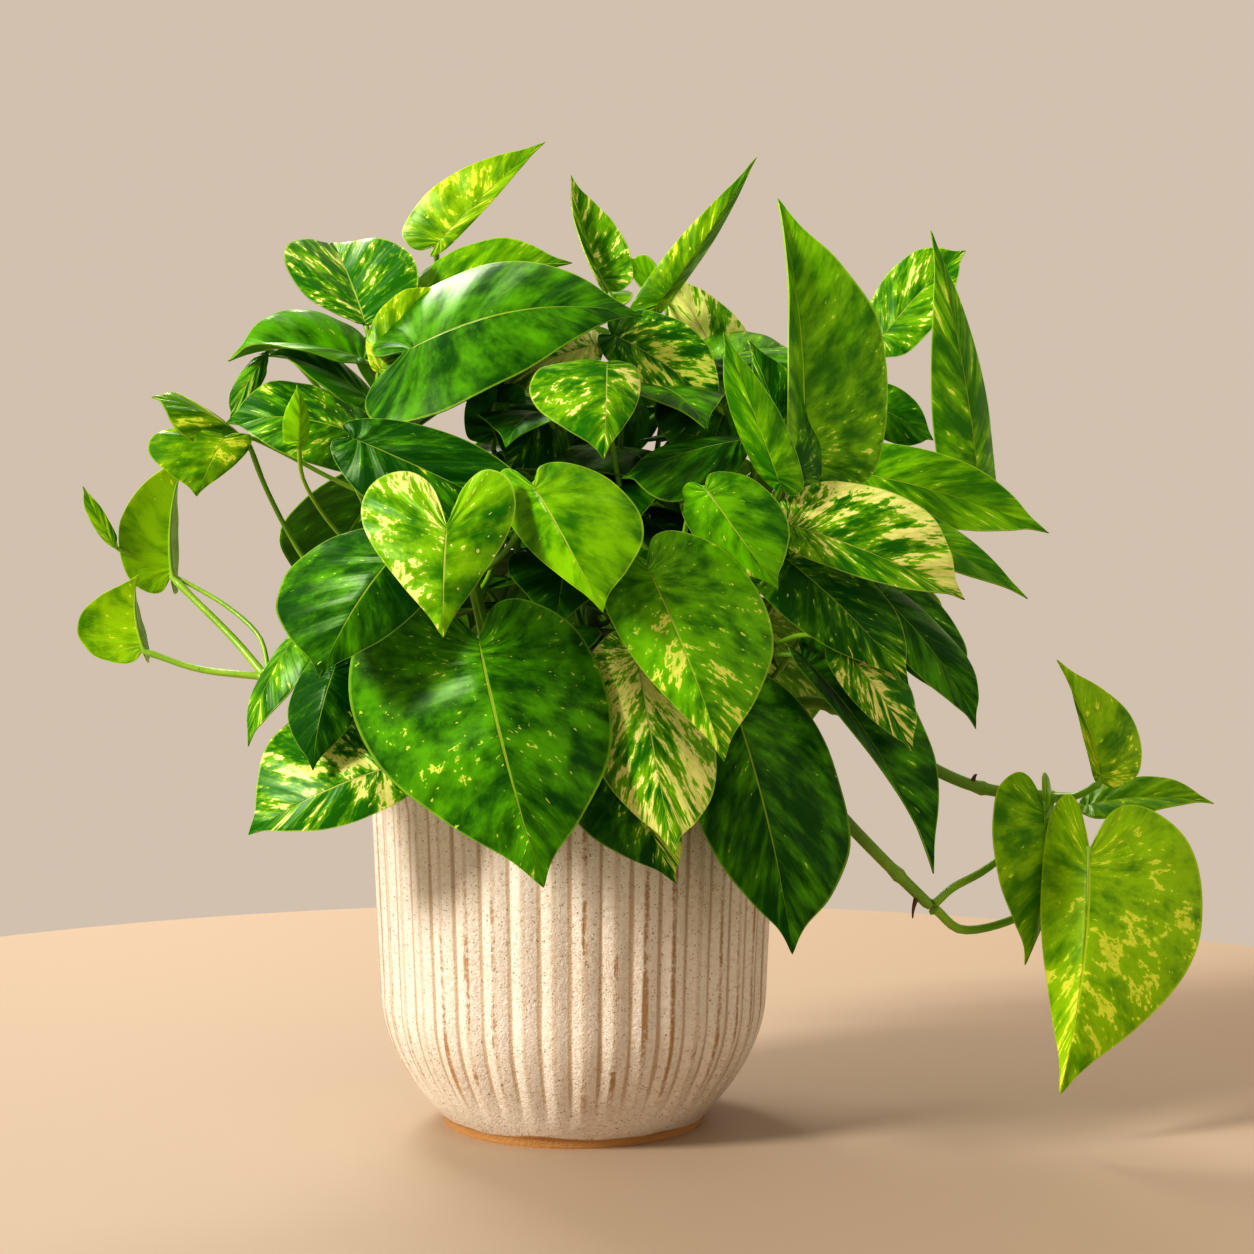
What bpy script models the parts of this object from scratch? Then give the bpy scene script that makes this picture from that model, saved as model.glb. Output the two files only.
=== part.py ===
"""Potted pothos: a round ribbed pot, the soil in it, and a bushy plant with heart-shaped leaves.

Metres, +Z up. The origin is the middle of the pot's flat foot, where the pot stands. +X is to the
right of somebody who faces the plant, and +Y points away from them.
"""

import math

import bmesh
import bpy
from mathutils import Vector
from mathutils.bvhtree import BVHTree

MM = 0.001

# ---- Pot ----
POT_HEIGHT = 138 * MM
RIM_RADIUS = 81 * MM
BELLY_RADIUS = 77 * MM        # where the rounded bowl turns into the upright wall
BOWL_HEIGHT = 50 * MM         # height of the rounded bowl above the foot
FOOT_RADIUS = 53 * MM
FOOT_HEIGHT = 3.5 * MM        # bare clay ring below the glaze
FOOT_CHAMFER = 1.2 * MM
WALL = 6 * MM
FLOOR = 9 * MM                # thickness of the pot's bottom
RIB_COUNT = 42
RIB_DEPTH = 1.8 * MM          # groove below crest
RIB_START = 8 * MM            # the grooves fade in from this height
RIB_FADE = 14 * MM            # and are at full depth this much higher
RIM_BAND = 6 * MM             # plain lip above the grooves

# ---- Soil ----
SOIL_BELOW_RIM = 20 * MM
SOIL_EDGE_DROP = 3 * MM       # the soil sinks a little next to the wall
SOIL_EDGE_WIDTH = 12 * MM
SOIL_GAP = 0.4 * MM           # soil to pot

# ---- Plant ----
STEM_RADIUS = 3.2 * MM
STALK_RADIUS = 1.3 * MM       # leaf stalk
STALK_TIP_SHARE = 0.75        # the stalk narrows to this share where the blade starts
BLADE_THICKNESS = 1.0 * MM
BLADE_BULGE = 0.05            # each half of a blade rises by this share of its own width
WIDEST_AT = 0.18              # a blade is widest at this share of its length
RIB_REACH = 0.12              # the stalk runs on as a rib for this share of the blade's length
RIB_DROP = 0.3 * MM           # and the rib lies this much below the blade's middle
STEM_FOOT = 6 * MM            # a stem leaves the soil upright for this far
JOIN_GAP = 0.7 * MM           # stalk to stem, and stem to soil
CLEARANCE = 0.5 * MM          # least space round a stalk
STALK_STATIONS = 6            # points along a stalk
STEM_STATIONS = 9             # points along a stem
BOW_TRIES = 240
BOW_STEP = 2.2 * MM
GOLDEN_ANGLE = math.pi * (3 - math.sqrt(5))

SOIL_TOP = POT_HEIGHT - SOIL_BELOW_RIM

# The plant's places below are written in millimetres for a pot of this size. place() moves them
# when the pot changes: the plant spreads with the rim, and what hangs beside the pot follows its
# height.
PLANNED_RIM = 81 * MM
PLANNED_HEIGHT = 138 * MM


def place(point):
    """The real place of a point that is planned in millimetres round the planned pot."""
    x, y, z = (value * MM for value in point)
    spread = RIM_RADIUS / PLANNED_RIM
    if z < PLANNED_HEIGHT:
        z = z * POT_HEIGHT / PLANNED_HEIGHT
    else:
        z = z - PLANNED_HEIGHT + POT_HEIGHT
    return Vector((x * spread, y * spread, z))


# ---- Finishes: base colour, roughness ----
FINISHES = {
    "glaze": ((0.78, 0.70, 0.60, 1), 0.35),
    "soil": ((0.045, 0.028, 0.018, 1), 0.95),
    "stem": ((0.16, 0.28, 0.05, 1), 0.45),
    "dark": ((0.015, 0.16, 0.02, 1), 0.28),
    "flecked": ((0.04, 0.25, 0.02, 1), 0.28),
    "bright": ((0.12, 0.40, 0.02, 1), 0.32),
    "marbled": ((0.38, 0.55, 0.12, 1), 0.32),
}


def finish(name):
    """The Principled material of one finish, made once."""
    material = bpy.data.materials.get(name)
    if material is None:
        colour, roughness = FINISHES[name]
        material = bpy.data.materials.new(name)
        material.use_nodes = True
        shader = material.node_tree.nodes["Principled BSDF"]
        shader.inputs["Base Color"].default_value = colour
        shader.inputs["Roughness"].default_value = roughness
        shader.inputs["Metallic"].default_value = 0.0
        material.diffuse_color = colour
    return material


# ---- Stems: planned points from the foot to the end, in millimetres ----
STEMS = {
    "stem_front_left": [(-22, -30, 119), (-26, -42, 150), (-30, -54, 185), (-36, -66, 218)],
    "stem_front_right": [(20, -32, 119), (26, -44, 150), (34, -54, 185), (42, -62, 222)],
    "stem_left": [(-40, 2, 119), (-46, -6, 165), (-52, -14, 215), (-58, -18, 262)],
    "stem_right": [(42, 6, 119), (52, 0, 160), (62, -8, 200), (72, -16, 238)],
    "stem_back": [(4, 30, 119), (8, 34, 170), (6, 30, 225), (2, 22, 280)],
    "stem_back_right": [(30, 42, 119), (44, 56, 160), (56, 66, 205)],
    "runner_left": [(-54, -18, 119), (-68, -20, 150), (-90, -20, 172), (-119, -20, 178)],
    "runner_right_low": [(58, 18, 119), (76, 2, 146), (92, -10, 142), (106, -16, 122), (140, -20, 88)],
    "runner_right_high": [(50, 34, 119), (66, 34, 152), (96, 26, 164), (124, 16, 152), (152, 10, 134), (190, 5, 128)],
}

LEAVES = []


def leaf(name, finish_name, base, tip, left, right, arch, lobe, stem, at=None, via=()):
    """Plan one leaf by where its blade starts, ends and is widest on either side.

    arch is how far the midrib bows up, in millimetres, and lobe how far the two lobes reach back
    past the stalk, as a share of the length. at is the place on the stem, from 0 to 1, and via
    are places that the stalk passes.
    """
    LEAVES.append(
        {
            "name": name,
            "finish": finish_name,
            "base": place(base),
            "tip": place(tip),
            "left": place(left),
            "right": place(right),
            "arch": arch * MM,
            "lobe": lobe,
            "stem": stem,
            "at": at,
            "via": [place(point) for point in via],
        }
    )


# Front: the leaves that hang over the rim
leaf("leaf_front_large", "dark", (-31, -122, 200), (-8, -130, 113), (-78, -104, 175), (14, -112, 181),
     9, 0.17, "stem_front_left")
leaf("leaf_front_heart", "marbled", (-40, -152, 241), (-41, -160, 203), (-70, -142, 247),
     (-17, -144, 248), 4, 0.34, "stem_front_left")
leaf("leaf_front_smile", "bright", (-11, -138, 254), (13, -150, 211), (-20, -130, 242),
     (24, -128, 247), 5, 0.20, "stem_front_left")
leaf("leaf_left_dark", "dark", (-57, -132, 233), (-86, -130, 187), (-98, -112, 224), (-49, -132, 214),
     6, 0.16, "stem_front_left")
leaf("leaf_front_shelf", "dark", (-78, -100, 271), (-8, -108, 238), (-37, -106, 270), (-56, -114, 240),
     5, 0.14, "stem_left")
leaf("leaf_front_right", "flecked", (28, -128, 226), (55, -134, 158), (14, -122, 210), (69, -112, 214),
     7, 0.18, "stem_front_right")
leaf("leaf_front_marble", "marbled", (24, -110, 199), (38, -118, 123), (6, -101, 169), (52, -106, 164),
     5, 0.10, "stem_front_right")
leaf("leaf_front_low", "dark", (14, -94, 160), (39, -102, 110), (-2, -92, 139), (36, -90, 139),
     3, 0.10, "stem_front_right")
leaf("leaf_front_tall", "dark", (58, -88, 180), (82, -84, 81), (43, -88, 143), (100, -66, 145),
     7, 0.12, "stem_front_right")
leaf("leaf_mid_right", "flecked", (49, -104, 253), (75, -110, 217), (45, -96, 236), (75, -98, 248),
     6, 0.14, "stem_front_right")
leaf("leaf_curled", "marbled", (14, -86, 298), (13, -112, 263), (-14, -92, 289), (26, -88, 290),
     3, 0.04, "stem_front_right")

# Right: upright leaves, then the ones that fan out and hang
leaf("leaf_upright_light", "bright", (77, -90, 253), (56, -86, 309), (61, -87, 274), (82, -88, 267),
     3, 0.08, "stem_right")
leaf("leaf_tall_right", "bright", (86, -62, 256), (78, -40, 361), (80, -77, 275), (121, -40, 285),
     6, 0.10, "stem_right")
leaf("leaf_back_right", "marbled", (122, 26, 309), (159, 40, 347), (127, 38, 337), (143, 22, 314),
     4, 0.10, "stem_back")
leaf("leaf_needle_right", "bright", (160, -2, 246), (140, -2, 352), (142, -10, 264), (166, 8, 270),
     4, 0.06, "stem_right")
leaf("leaf_right_high", "bright", (102, -26, 259), (185, -18, 234), (133, -20, 267), (128, -34, 239),
     6, 0.10, "stem_right")
leaf("leaf_right_low", "bright", (106, -60, 244), (173, -46, 210), (126, -50, 246), (118, -68, 230),
     4, 0.10, "stem_right")
leaf("leaf_right_variegated", "marbled", (77, -86, 240), (146, -72, 211), (115, -75, 252),
     (100, -94, 222), 5, 0.10, "stem_right")
leaf("leaf_right_blotched", "flecked", (76, -82, 229), (126, -66, 179), (108, -66, 221),
     (78, -84, 206), 6, 0.14, "stem_right")
leaf("leaf_right_hooked", "dark", (86, -60, 190), (138, -46, 105), (122, -44, 180), (102, -70, 165),
     8, 0.08, "stem_right")
leaf("leaf_right_far", "dark", (116, -34, 213), (158, -12, 157), (143, -20, 198), (123, -36, 190),
     7, 0.08, "stem_right")

# Left
leaf("leaf_left_horned", "bright", (-121, -44, 268), (-157, -52, 286), (-139, -36, 281),
     (-140, -58, 268), 4, 0.06, "stem_left")
leaf("leaf_left_arched", "flecked", (-73, -72, 270), (-128, -62, 276), (-96, -52, 290),
     (-92, -76, 260), 8, 0.12, "stem_left")
leaf("leaf_left_spread", "dark", (-77, -40, 300), (-131, -32, 300), (-98, -22, 319), (-100, -56, 303),
     6, 0.10, "stem_left")
leaf("leaf_left_narrow", "flecked", (-100, -62, 200), (-120, -66, 156), (-113, -56, 187),
     (-97, -72, 186), 4, 0.08, "stem_left")
leaf("leaf_left_variegated", "marbled", (-62, -90, 152), (-118, -82, 125), (-96, -66, 169),
     (-73, -94, 133), 5, 0.10, "stem_left")

# Top
leaf("leaf_top_left", "marbled", (-77, -46, 313), (-94, 0, 347), (-109, -28, 335), (-59, -30, 336),
     3, 0.06, "stem_left")
leaf("leaf_top_arch", "bright", (-68, -34, 306), (0, -6, 339), (-51, -14, 340), (-46, -30, 323),
     6, 0.10, "stem_left")
leaf("leaf_top_small", "bright", (-54, 0, 346), (-11, 6, 387), (-60, 6, 364), (-39, -2, 355),
     3, 0.10, "stem_back")
leaf("leaf_arch_dark", "dark", (-61, -68, 302), (27, -56, 316), (-44, -40, 332), (-46, -92, 280),
     12, 0.15, "stem_left")
leaf("leaf_top_round", "marbled", (12, 10, 331), (-1, 14, 375), (4, 4, 345), (22, 12, 345),
     3, 0.10, "stem_back")
leaf("leaf_top_blade", "bright", (31, -6, 320), (72, 0, 381), (30, -4, 334), (44, 2, 332),
     3, 0.08, "stem_back")
leaf("leaf_top_cream", "marbled", (64, 0, 286), (37, 16, 337), (42, 6, 303), (72, 16, 307),
     3, 0.08, "stem_back")

# Back
leaf("leaf_back_low_left", "flecked", (-62, 92, 196), (-84, 112, 118), (-98, 82, 172), (-34, 98, 168),
     8, 0.18, "stem_back")
leaf("leaf_back_low_mid", "dark", (2, 104, 204), (-6, 126, 122), (-36, 114, 180), (36, 108, 178),
     8, 0.18, "stem_back_right")
leaf("leaf_back_low_right", "marbled", (66, 92, 200), (88, 112, 130), (40, 106, 174), (104, 80, 178),
     8, 0.16, "stem_back_right")
leaf("leaf_back_mid_left", "dark", (-74, 62, 258), (-112, 84, 200), (-116, 52, 242), (-62, 92, 226),
     7, 0.16, "stem_back")
leaf("leaf_back_mid", "bright", (-14, 86, 272), (-20, 116, 212), (-50, 86, 254), (18, 92, 252),
     7, 0.18, "stem_back")
leaf("leaf_back_mid_right", "flecked", (54, 78, 262), (78, 108, 206), (26, 92, 246), (90, 70, 246),
     7, 0.16, "stem_back_right")
leaf("leaf_back_top_left", "bright", (-48, 36, 312), (-84, 66, 284), (-84, 34, 312), (-50, 68, 300),
     6, 0.14, "stem_back")
leaf("leaf_back_top_right", "dark", (44, 42, 306), (74, 76, 282), (38, 70, 300), (80, 42, 304),
     6, 0.14, "stem_back")
leaf("leaf_back_far_right", "bright", (104, 44, 228), (152, 66, 180), (124, 70, 208), (136, 34, 216),
     7, 0.14, "stem_back_right")

# Runners
leaf("leaf_trail_big", "flecked", (199, -36, 113), (186, -52, 21), (182, -28, 100), (247, -18, 88),
     9, 0.20, "runner_right_low", at=1.0, via=[(156, -12, 77), (180, 0, 82), (201, -6, 97)])
leaf("leaf_trail_left", "bright", (184, -16, 128), (177, -20, 65), (163, -24, 118), (191, -4, 115),
     5, 0.18, "runner_right_low", at=1.0, via=[(152, -12, 96), (170, -2, 104), (182, 2, 118)])
leaf("leaf_trail_upright", "flecked", (207, -14, 136), (188, -22, 185), (200, -18, 152),
     (224, -4, 151), 4, 0.08, "runner_right_high", at=1.0, via=[(199, -6, 130)])
leaf("leaf_trail_side", "bright", (203, 6, 124), (256, 8, 125), (222, 14, 134), (219, -6, 122),
     4, 0.06, "runner_right_high", at=1.0, via=[(197, 4, 126)])
leaf("leaf_far_left_low", "bright", (-168, -14, 188), (-168, -22, 218), (-194, -10, 194),
     (-172, 14, 193), 4, 0.16, "runner_left", at=1.0, via=[(-146, -17, 181)])
leaf("leaf_far_left_high", "bright", (-160, 6, 216), (-151, -2, 267), (-180, 2, 229),
     (-161, 30, 227), 5, 0.14, "runner_left", at=1.0, via=[(-135, -8, 194)])

# The margin of a blade from the stalk round the lobe to the tip. Each place is (share of the
# lobe, share of the length, share of the half width, place on the midrib where its vein starts).
MARGIN = [
    (-0.85, 0.00, 0.20, 0.01),
    (-1.00, 0.00, 0.50, 0.03),
    (-0.35, 0.00, 0.86, 0.06),
    (0.00, 0.20, 1.00, 0.13),
    (0.00, 0.46, 0.87, 0.30),
    (0.00, 0.70, 0.51, 0.52),
    (0.00, 0.87, 0.17, 0.74),
]
COLUMNS = (-1.0, 0.0, 1.0)


def smooth_path(points, count):
    """count places on a smooth curve through the points, by the Catmull-Rom rule."""
    ends = [points[0] * 2 - points[1]] + points + [points[-1] * 2 - points[-2]]
    spans = len(points) - 1
    path = []
    for index in range(count):
        span, t = divmod(index * spans / (count - 1), 1)
        if span == spans:
            span, t = spans - 1, 1.0
        a, b, c, d = ends[int(span) : int(span) + 4]
        path.append(
            (b * 2 + (c - a) * t + (a * 2 - b * 5 + c * 4 - d) * t**2
             + (b * 3 - a - c * 3 + d) * t**3) / 2
        )
    return path


def on_path(path, share):
    """The place and the direction at a share of the way along a path."""
    index, t = divmod(share * (len(path) - 1), 1)
    if index >= len(path) - 1:
        index, t = len(path) - 2, 1.0
    start, end = path[int(index)], path[int(index) + 1]
    return start.lerp(end, t), (end - start).normalized()


def bezier(points, count):
    """count places on the cubic Bezier curve of four points."""
    a, b, c, d = points
    path = []
    for index in range(count):
        t = index / (count - 1)
        u = 1 - t
        path.append(a * u**3 + b * (3 * u * u * t) + c * (3 * u * t * t) + d * t**3)
    return path


def set_blade_frame(plan):
    """Work out which way a leaf's upper face looks, and its two half widths."""
    along = plan["tip"] - plan["base"]
    normal = along.cross(plan["right"] - plan["left"]).normalized()
    outward = Vector((plan["base"].x, plan["base"].y, 0)).normalized() + Vector((0, 0, 0.8))
    if normal.dot(outward) < 0:
        normal = -normal
    plan["along"] = along
    plan["normal"] = normal
    widest = spine(plan, WIDEST_AT)
    plan["arms"] = (plan["left"] - widest, plan["right"] - widest)


def spine(plan, share):
    """A place on the midrib, or on its line past the stalk where share is negative."""
    bow = plan["arch"] * 4 * share * (1 - share)
    return plan["base"] + plan["along"] * share + plan["normal"] * bow


def blade_point(plan, share, across):
    """A place on the blade: share along the midrib, across from -1 to 1."""
    arm = plan["arms"][0 if across < 0 else 1]
    width = abs(across)
    bulge = BLADE_BULGE * arm.length * 4 * width * (1 - width)
    return spine(plan, share) + arm * width + plan["normal"] * bulge


def blade_surface(plan):
    """The vertices and faces of a blade's middle surface."""
    points = [plan["base"]]
    for lobe_share, length_share, width, vein_start in MARGIN:
        margin = lobe_share * plan["lobe"] + length_share
        for column in COLUMNS:
            share = vein_start + (margin - vein_start) * abs(column)
            points.append(blade_point(plan, share, column * width))
    points.append(plan["tip"])
    last = len(points) - 1
    across = len(COLUMNS)
    faces = []
    for column in range(across - 1):
        faces.append((0, 1 + column, 2 + column))
        for row in range(len(MARGIN) - 1):
            corner = 1 + row * across + column
            faces.append((corner, corner + across, corner + across + 1, corner + 1))
        faces.append((last, last - across + column + 1, last - across + column))
    return points, faces


def new_object(name, mesh, collection, finish_name):
    """Link a mesh as a named object with its finish."""
    item = bpy.data.objects.new(name, mesh)
    collection.objects.link(item)
    mesh.materials.append(finish(finish_name))
    return item


def as_mesh(source, name):
    """The evaluated mesh of an object, which is removed."""
    bpy.context.view_layer.update()
    mesh = bpy.data.meshes.new_from_object(
        source.evaluated_get(bpy.context.evaluated_depsgraph_get())
    )
    bpy.data.objects.remove(source)
    work = bmesh.new()
    work.from_mesh(mesh)
    bmesh.ops.remove_doubles(work, verts=work.verts, dist=0.001 * MM)
    work.to_mesh(mesh)
    work.free()
    mesh.name = name
    return mesh


def tube_mesh(name, path, radii, sides_step):
    """A closed tube along a path, with a radius at each of its points."""
    curve = bpy.data.curves.new(name, "CURVE")
    curve.dimensions = "3D"
    curve.bevel_depth = 1.0
    curve.bevel_resolution = sides_step
    curve.use_fill_caps = True
    spline = curve.splines.new("POLY")
    spline.points.add(len(path) - 1)
    for point, place_on_path, radius in zip(spline.points, path, radii):
        point.co = (*place_on_path, 1)
        point.radius = radius
    guide = bpy.data.objects.new(name, curve)
    bpy.context.scene.collection.objects.link(guide)
    return as_mesh(guide, name)


def turned_mesh(name, profile, steps):
    """A profile of (radius, height) turned round the Z axis."""
    mesh = bpy.data.meshes.new(name)
    points = [(radius, 0, height) for radius, height in profile]
    mesh.from_pydata(points, [(i, i + 1) for i in range(len(points) - 1)], [])
    guide = bpy.data.objects.new(name, mesh)
    bpy.context.scene.collection.objects.link(guide)
    screw = guide.modifiers.new("turn", "SCREW")
    screw.steps = steps
    screw.render_steps = steps
    screw.use_merge_vertices = True
    screw.merge_threshold = 0.01 * MM
    return as_mesh(guide, name)


# ---- Pot and soil ----
def outer_radius(height):
    """The pot's outside at a height: a rounded bowl, then a nearly upright wall."""
    above_foot = height - FOOT_HEIGHT
    if above_foot < BOWL_HEIGHT:
        rise = 1 - (1 - above_foot / BOWL_HEIGHT) ** 2
        return FOOT_RADIUS + (BELLY_RADIUS - FOOT_RADIUS) * rise
    rise = (above_foot - BOWL_HEIGHT) / (POT_HEIGHT - FOOT_HEIGHT - BOWL_HEIGHT)
    return BELLY_RADIUS + (RIM_RADIUS - BELLY_RADIUS) * rise


def inner_radius(height):
    """The pot's inside at a height above its floor."""
    return outer_radius(height) - WALL


def bowl_heights():
    """The heights where the pot's inside and the soil in it both change slope."""
    top = FOOT_HEIGHT + BOWL_HEIGHT
    return [FLOOR + (top - FLOOR) * share for share in (0.0, 0.25, 0.6, 1.0)]


def make_pot(collection):
    lip = WALL / 2
    shoulder = POT_HEIGHT - lip
    profile = [(0, FLOOR)]
    for height in (*bowl_heights(), shoulder):
        profile.append((inner_radius(height), height))
    for turn in range(1, 4):
        angle = math.pi * (1 - turn / 4)
        centre = outer_radius(shoulder) - lip
        profile.append((centre + lip * math.cos(angle), shoulder + lip * math.sin(angle)))
    wall_top = shoulder - RIM_BAND
    wall_steps = 2
    for step in range(wall_steps):
        height = wall_top + (BOWL_HEIGHT + FOOT_HEIGHT - wall_top) * step / wall_steps
        profile.append((outer_radius(height), height))
    for share in (1.0, 0.6, 0.32, 0.12, 0.0):
        height = FOOT_HEIGHT + BOWL_HEIGHT * share
        profile.append((outer_radius(height), height))
    profile.append((FOOT_RADIUS, FOOT_CHAMFER))
    profile.append((FOOT_RADIUS - FOOT_CHAMFER, 0))
    profile.append((0, 0))
    mesh = turned_mesh("ribbed_pot", profile, RIB_COUNT * 2)
    for vertex in mesh.vertices:
        x, y, height = vertex.co
        radius = math.hypot(x, y)
        if RIB_START < height < wall_top + MM and radius > outer_radius(height) - WALL / 2:
            depth = RIB_DEPTH * min(1, (height - RIB_START) / RIB_FADE)
            groove = 0.5 - 0.5 * math.cos(RIB_COUNT * math.atan2(y, x))
            scale = 1 - depth * groove / radius
            vertex.co = (x * scale, y * scale, height)
    pot = new_object("ribbed_pot", mesh, collection, "glaze")
    mesh.shade_smooth()
    mesh.set_sharp_from_angle(angle=math.radians(50))
    return pot


def make_soil(collection):
    bottom = FLOOR + SOIL_GAP
    edge_top = SOIL_TOP - SOIL_EDGE_DROP
    edge = inner_radius(edge_top) - SOIL_GAP
    profile = [(0, SOIL_TOP), (edge - SOIL_EDGE_WIDTH, SOIL_TOP), (edge, edge_top)]
    for height in reversed(bowl_heights()):
        profile.append((inner_radius(height) - SOIL_GAP, max(height, bottom)))
    profile.append((0, bottom))
    soil = new_object("potting_soil", turned_mesh("potting_soil", profile, RIB_COUNT), collection, "soil")
    return soil


# ---- Stems and leaves ----
def make_stem(name, points, collection):
    """One stem or runner. It stands on the soil and narrows a little towards its end."""
    foot = place(points[0])
    foot.z = SOIL_TOP + JOIN_GAP
    root = foot + Vector((0, 0, STEM_FOOT))
    path = [foot] + smooth_path([root] + [place(point) for point in points[1:]], STEM_STATIONS - 1)
    radii = [STEM_RADIUS * (1 - 0.25 * i / (STEM_STATIONS - 1)) for i in range(STEM_STATIONS)]
    mesh = tube_mesh(name, path, radii, 1)
    mesh.shade_smooth()
    new_object(name, mesh, collection, "stem")
    return path


def share_out_stem(plans):
    """Give each leaf its place on its stem: the lower the blade, the lower it grows."""
    for stem in STEMS:
        own = sorted(
            (plan for plan in plans if plan["stem"] == stem and plan["at"] is None),
            key=lambda plan: plan["base"].z,
        )
        for index, plan in enumerate(own):
            plan["at"] = 0.3 + 0.7 * (index + 1) / len(own)


def clear_distance(path, surface, lines):
    """The least space between a stalk's path and the blades and lines round it."""
    least = 1.0
    for point in path:
        hit = surface.find_nearest(point, 0.03)
        if hit[0] is not None:
            least = min(least, hit[3] - STALK_RADIUS - BLADE_THICKNESS / 2)
        for line_radius, line in lines:
            for other in line:
                least = min(least, (point - other).length - STALK_RADIUS - line_radius)
    return least


def route_stalk(plan, stem_path, surface, lines):
    """A path for the stalk from its stem to its blade that clears everything round it.

    The stalk leaves its stem outwards and reaches the blade from below. It bows a little further
    each time it would touch something, in a widening spiral of tries.
    """
    centre, along_stem = on_path(stem_path, plan["at"])
    towards = (plan["via"] + [plan["base"]])[0] - centre
    outward = (towards - along_stem * towards.dot(along_stem)).normalized()
    if plan["at"] == 1.0:
        outward = towards.normalized()
    start = centre + outward * (STEM_RADIUS + JOIN_GAP)
    if plan["via"]:
        return smooth_path([start] + plan["via"] + [plan["base"]], STALK_STATIONS)
    reach = (plan["base"] - start).length
    arrival = (plan["along"].normalized() * 0.5 + plan["normal"] * 0.7).normalized()
    side = towards.cross(Vector((0, 0, 1))).normalized()
    rise = side.cross(towards).normalized()
    best, best_space = None, -1.0
    for attempt in range(BOW_TRIES):
        turn = attempt * GOLDEN_ANGLE
        size = BOW_STEP * math.sqrt(attempt)
        bow = side * (size * math.cos(turn)) + rise * (size * math.sin(turn))
        first = start + outward * (reach * 0.3) + bow
        second = plan["base"] - arrival * min(reach * 0.35, 26 * MM) + bow * 0.6
        path = bezier((start, first, second, plan["base"]), STALK_STATIONS)
        dense = bezier((start, first, second, plan["base"]), 28)
        space = clear_distance(dense[1:], surface, lines)
        if space > best_space:
            best, best_space = path, space
        if space > CLEARANCE:
            break
    plan["space"] = best_space
    return best


def make_leaf(plan, path, collection, helpers):
    """A blade with its stalk: the blade is a thickened surface, joined to the stalk's tube."""
    points, faces = blade_surface(plan)
    mesh = bpy.data.meshes.new(plan["name"])
    mesh.from_pydata(points, [], faces)
    blade = new_object(plan["name"], mesh, collection, plan["finish"])
    mesh.shade_smooth()
    thicken = blade.modifiers.new("thickness", "SOLIDIFY")
    thicken.thickness = BLADE_THICKNESS
    thicken.offset = 0
    drop = plan["normal"] * RIB_DROP
    stations = path[:-1] + [path[-1] - drop, spine(plan, RIB_REACH) - drop]
    last = len(stations) - 1
    radii = [STALK_RADIUS * (1 - (1 - STALK_TIP_SHARE) * i / last) for i in range(last + 1)]
    stalk_mesh = tube_mesh(plan["name"] + "_stalk", stations, radii, 1)
    stalk = bpy.data.objects.new(plan["name"] + "_stalk", stalk_mesh)
    helpers.objects.link(stalk)
    stalk.hide_render = True
    stalk.display_type = "WIRE"
    join = blade.modifiers.new("stalk", "BOOLEAN")
    join.operation = "UNION"
    join.object = stalk
    return blade


def blades_tree(plans, without):
    """A search tree of the middle surfaces of every blade but one."""
    points, faces = [], []
    for plan in plans:
        if plan is not without:
            own_points, own_faces = blade_surface(plan)
            first = len(points)
            points += own_points
            faces += [tuple(first + corner for corner in face) for face in own_faces]
    return BVHTree.FromPolygons(points, faces)


def main():
    for item in list(bpy.data.objects):
        bpy.data.objects.remove(item)
    plant = bpy.data.collections.new("potted_pothos")
    helpers = bpy.data.collections.new("stalk_helpers")
    for collection in (plant, helpers):
        bpy.context.scene.collection.children.link(collection)

    make_pot(plant)
    make_soil(plant)
    stem_paths = {name: make_stem(name, points, plant) for name, points in STEMS.items()}
    lines = [(STEM_RADIUS, smooth_path(path, 60)) for path in stem_paths.values()]
    for plan in LEAVES:
        set_blade_frame(plan)
    share_out_stem(LEAVES)
    for plan in LEAVES:
        own_stem = stem_paths[plan["stem"]]
        path = route_stalk(plan, own_stem, blades_tree(LEAVES, plan), lines)
        plan["path"] = path
        lines.append((STALK_RADIUS, smooth_path(path, 30)))
        make_leaf(plan, path, plant, helpers)


main()
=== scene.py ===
# %% [markdown]
# # A potted pothos, from the pot up
#
# This lesson dresses a finished frame: a ribbed stoneware pot, the soil in it, and a bushy pothos
# with heart-shaped leaves. The frame gives every leaf its place and its size. Here each leaf gets
# a fine curved blade, a waxy surface and its own pattern of green and cream.
#
# The cells follow the order in which the plant could be put together on a bench: light and camera,
# tools for shapes, tools for finishes, pot, soil, stems, leaves.

# %% Load the frame
import math
import random

import bmesh
import bpy
from mathutils import Matrix, Vector, noise


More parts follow.
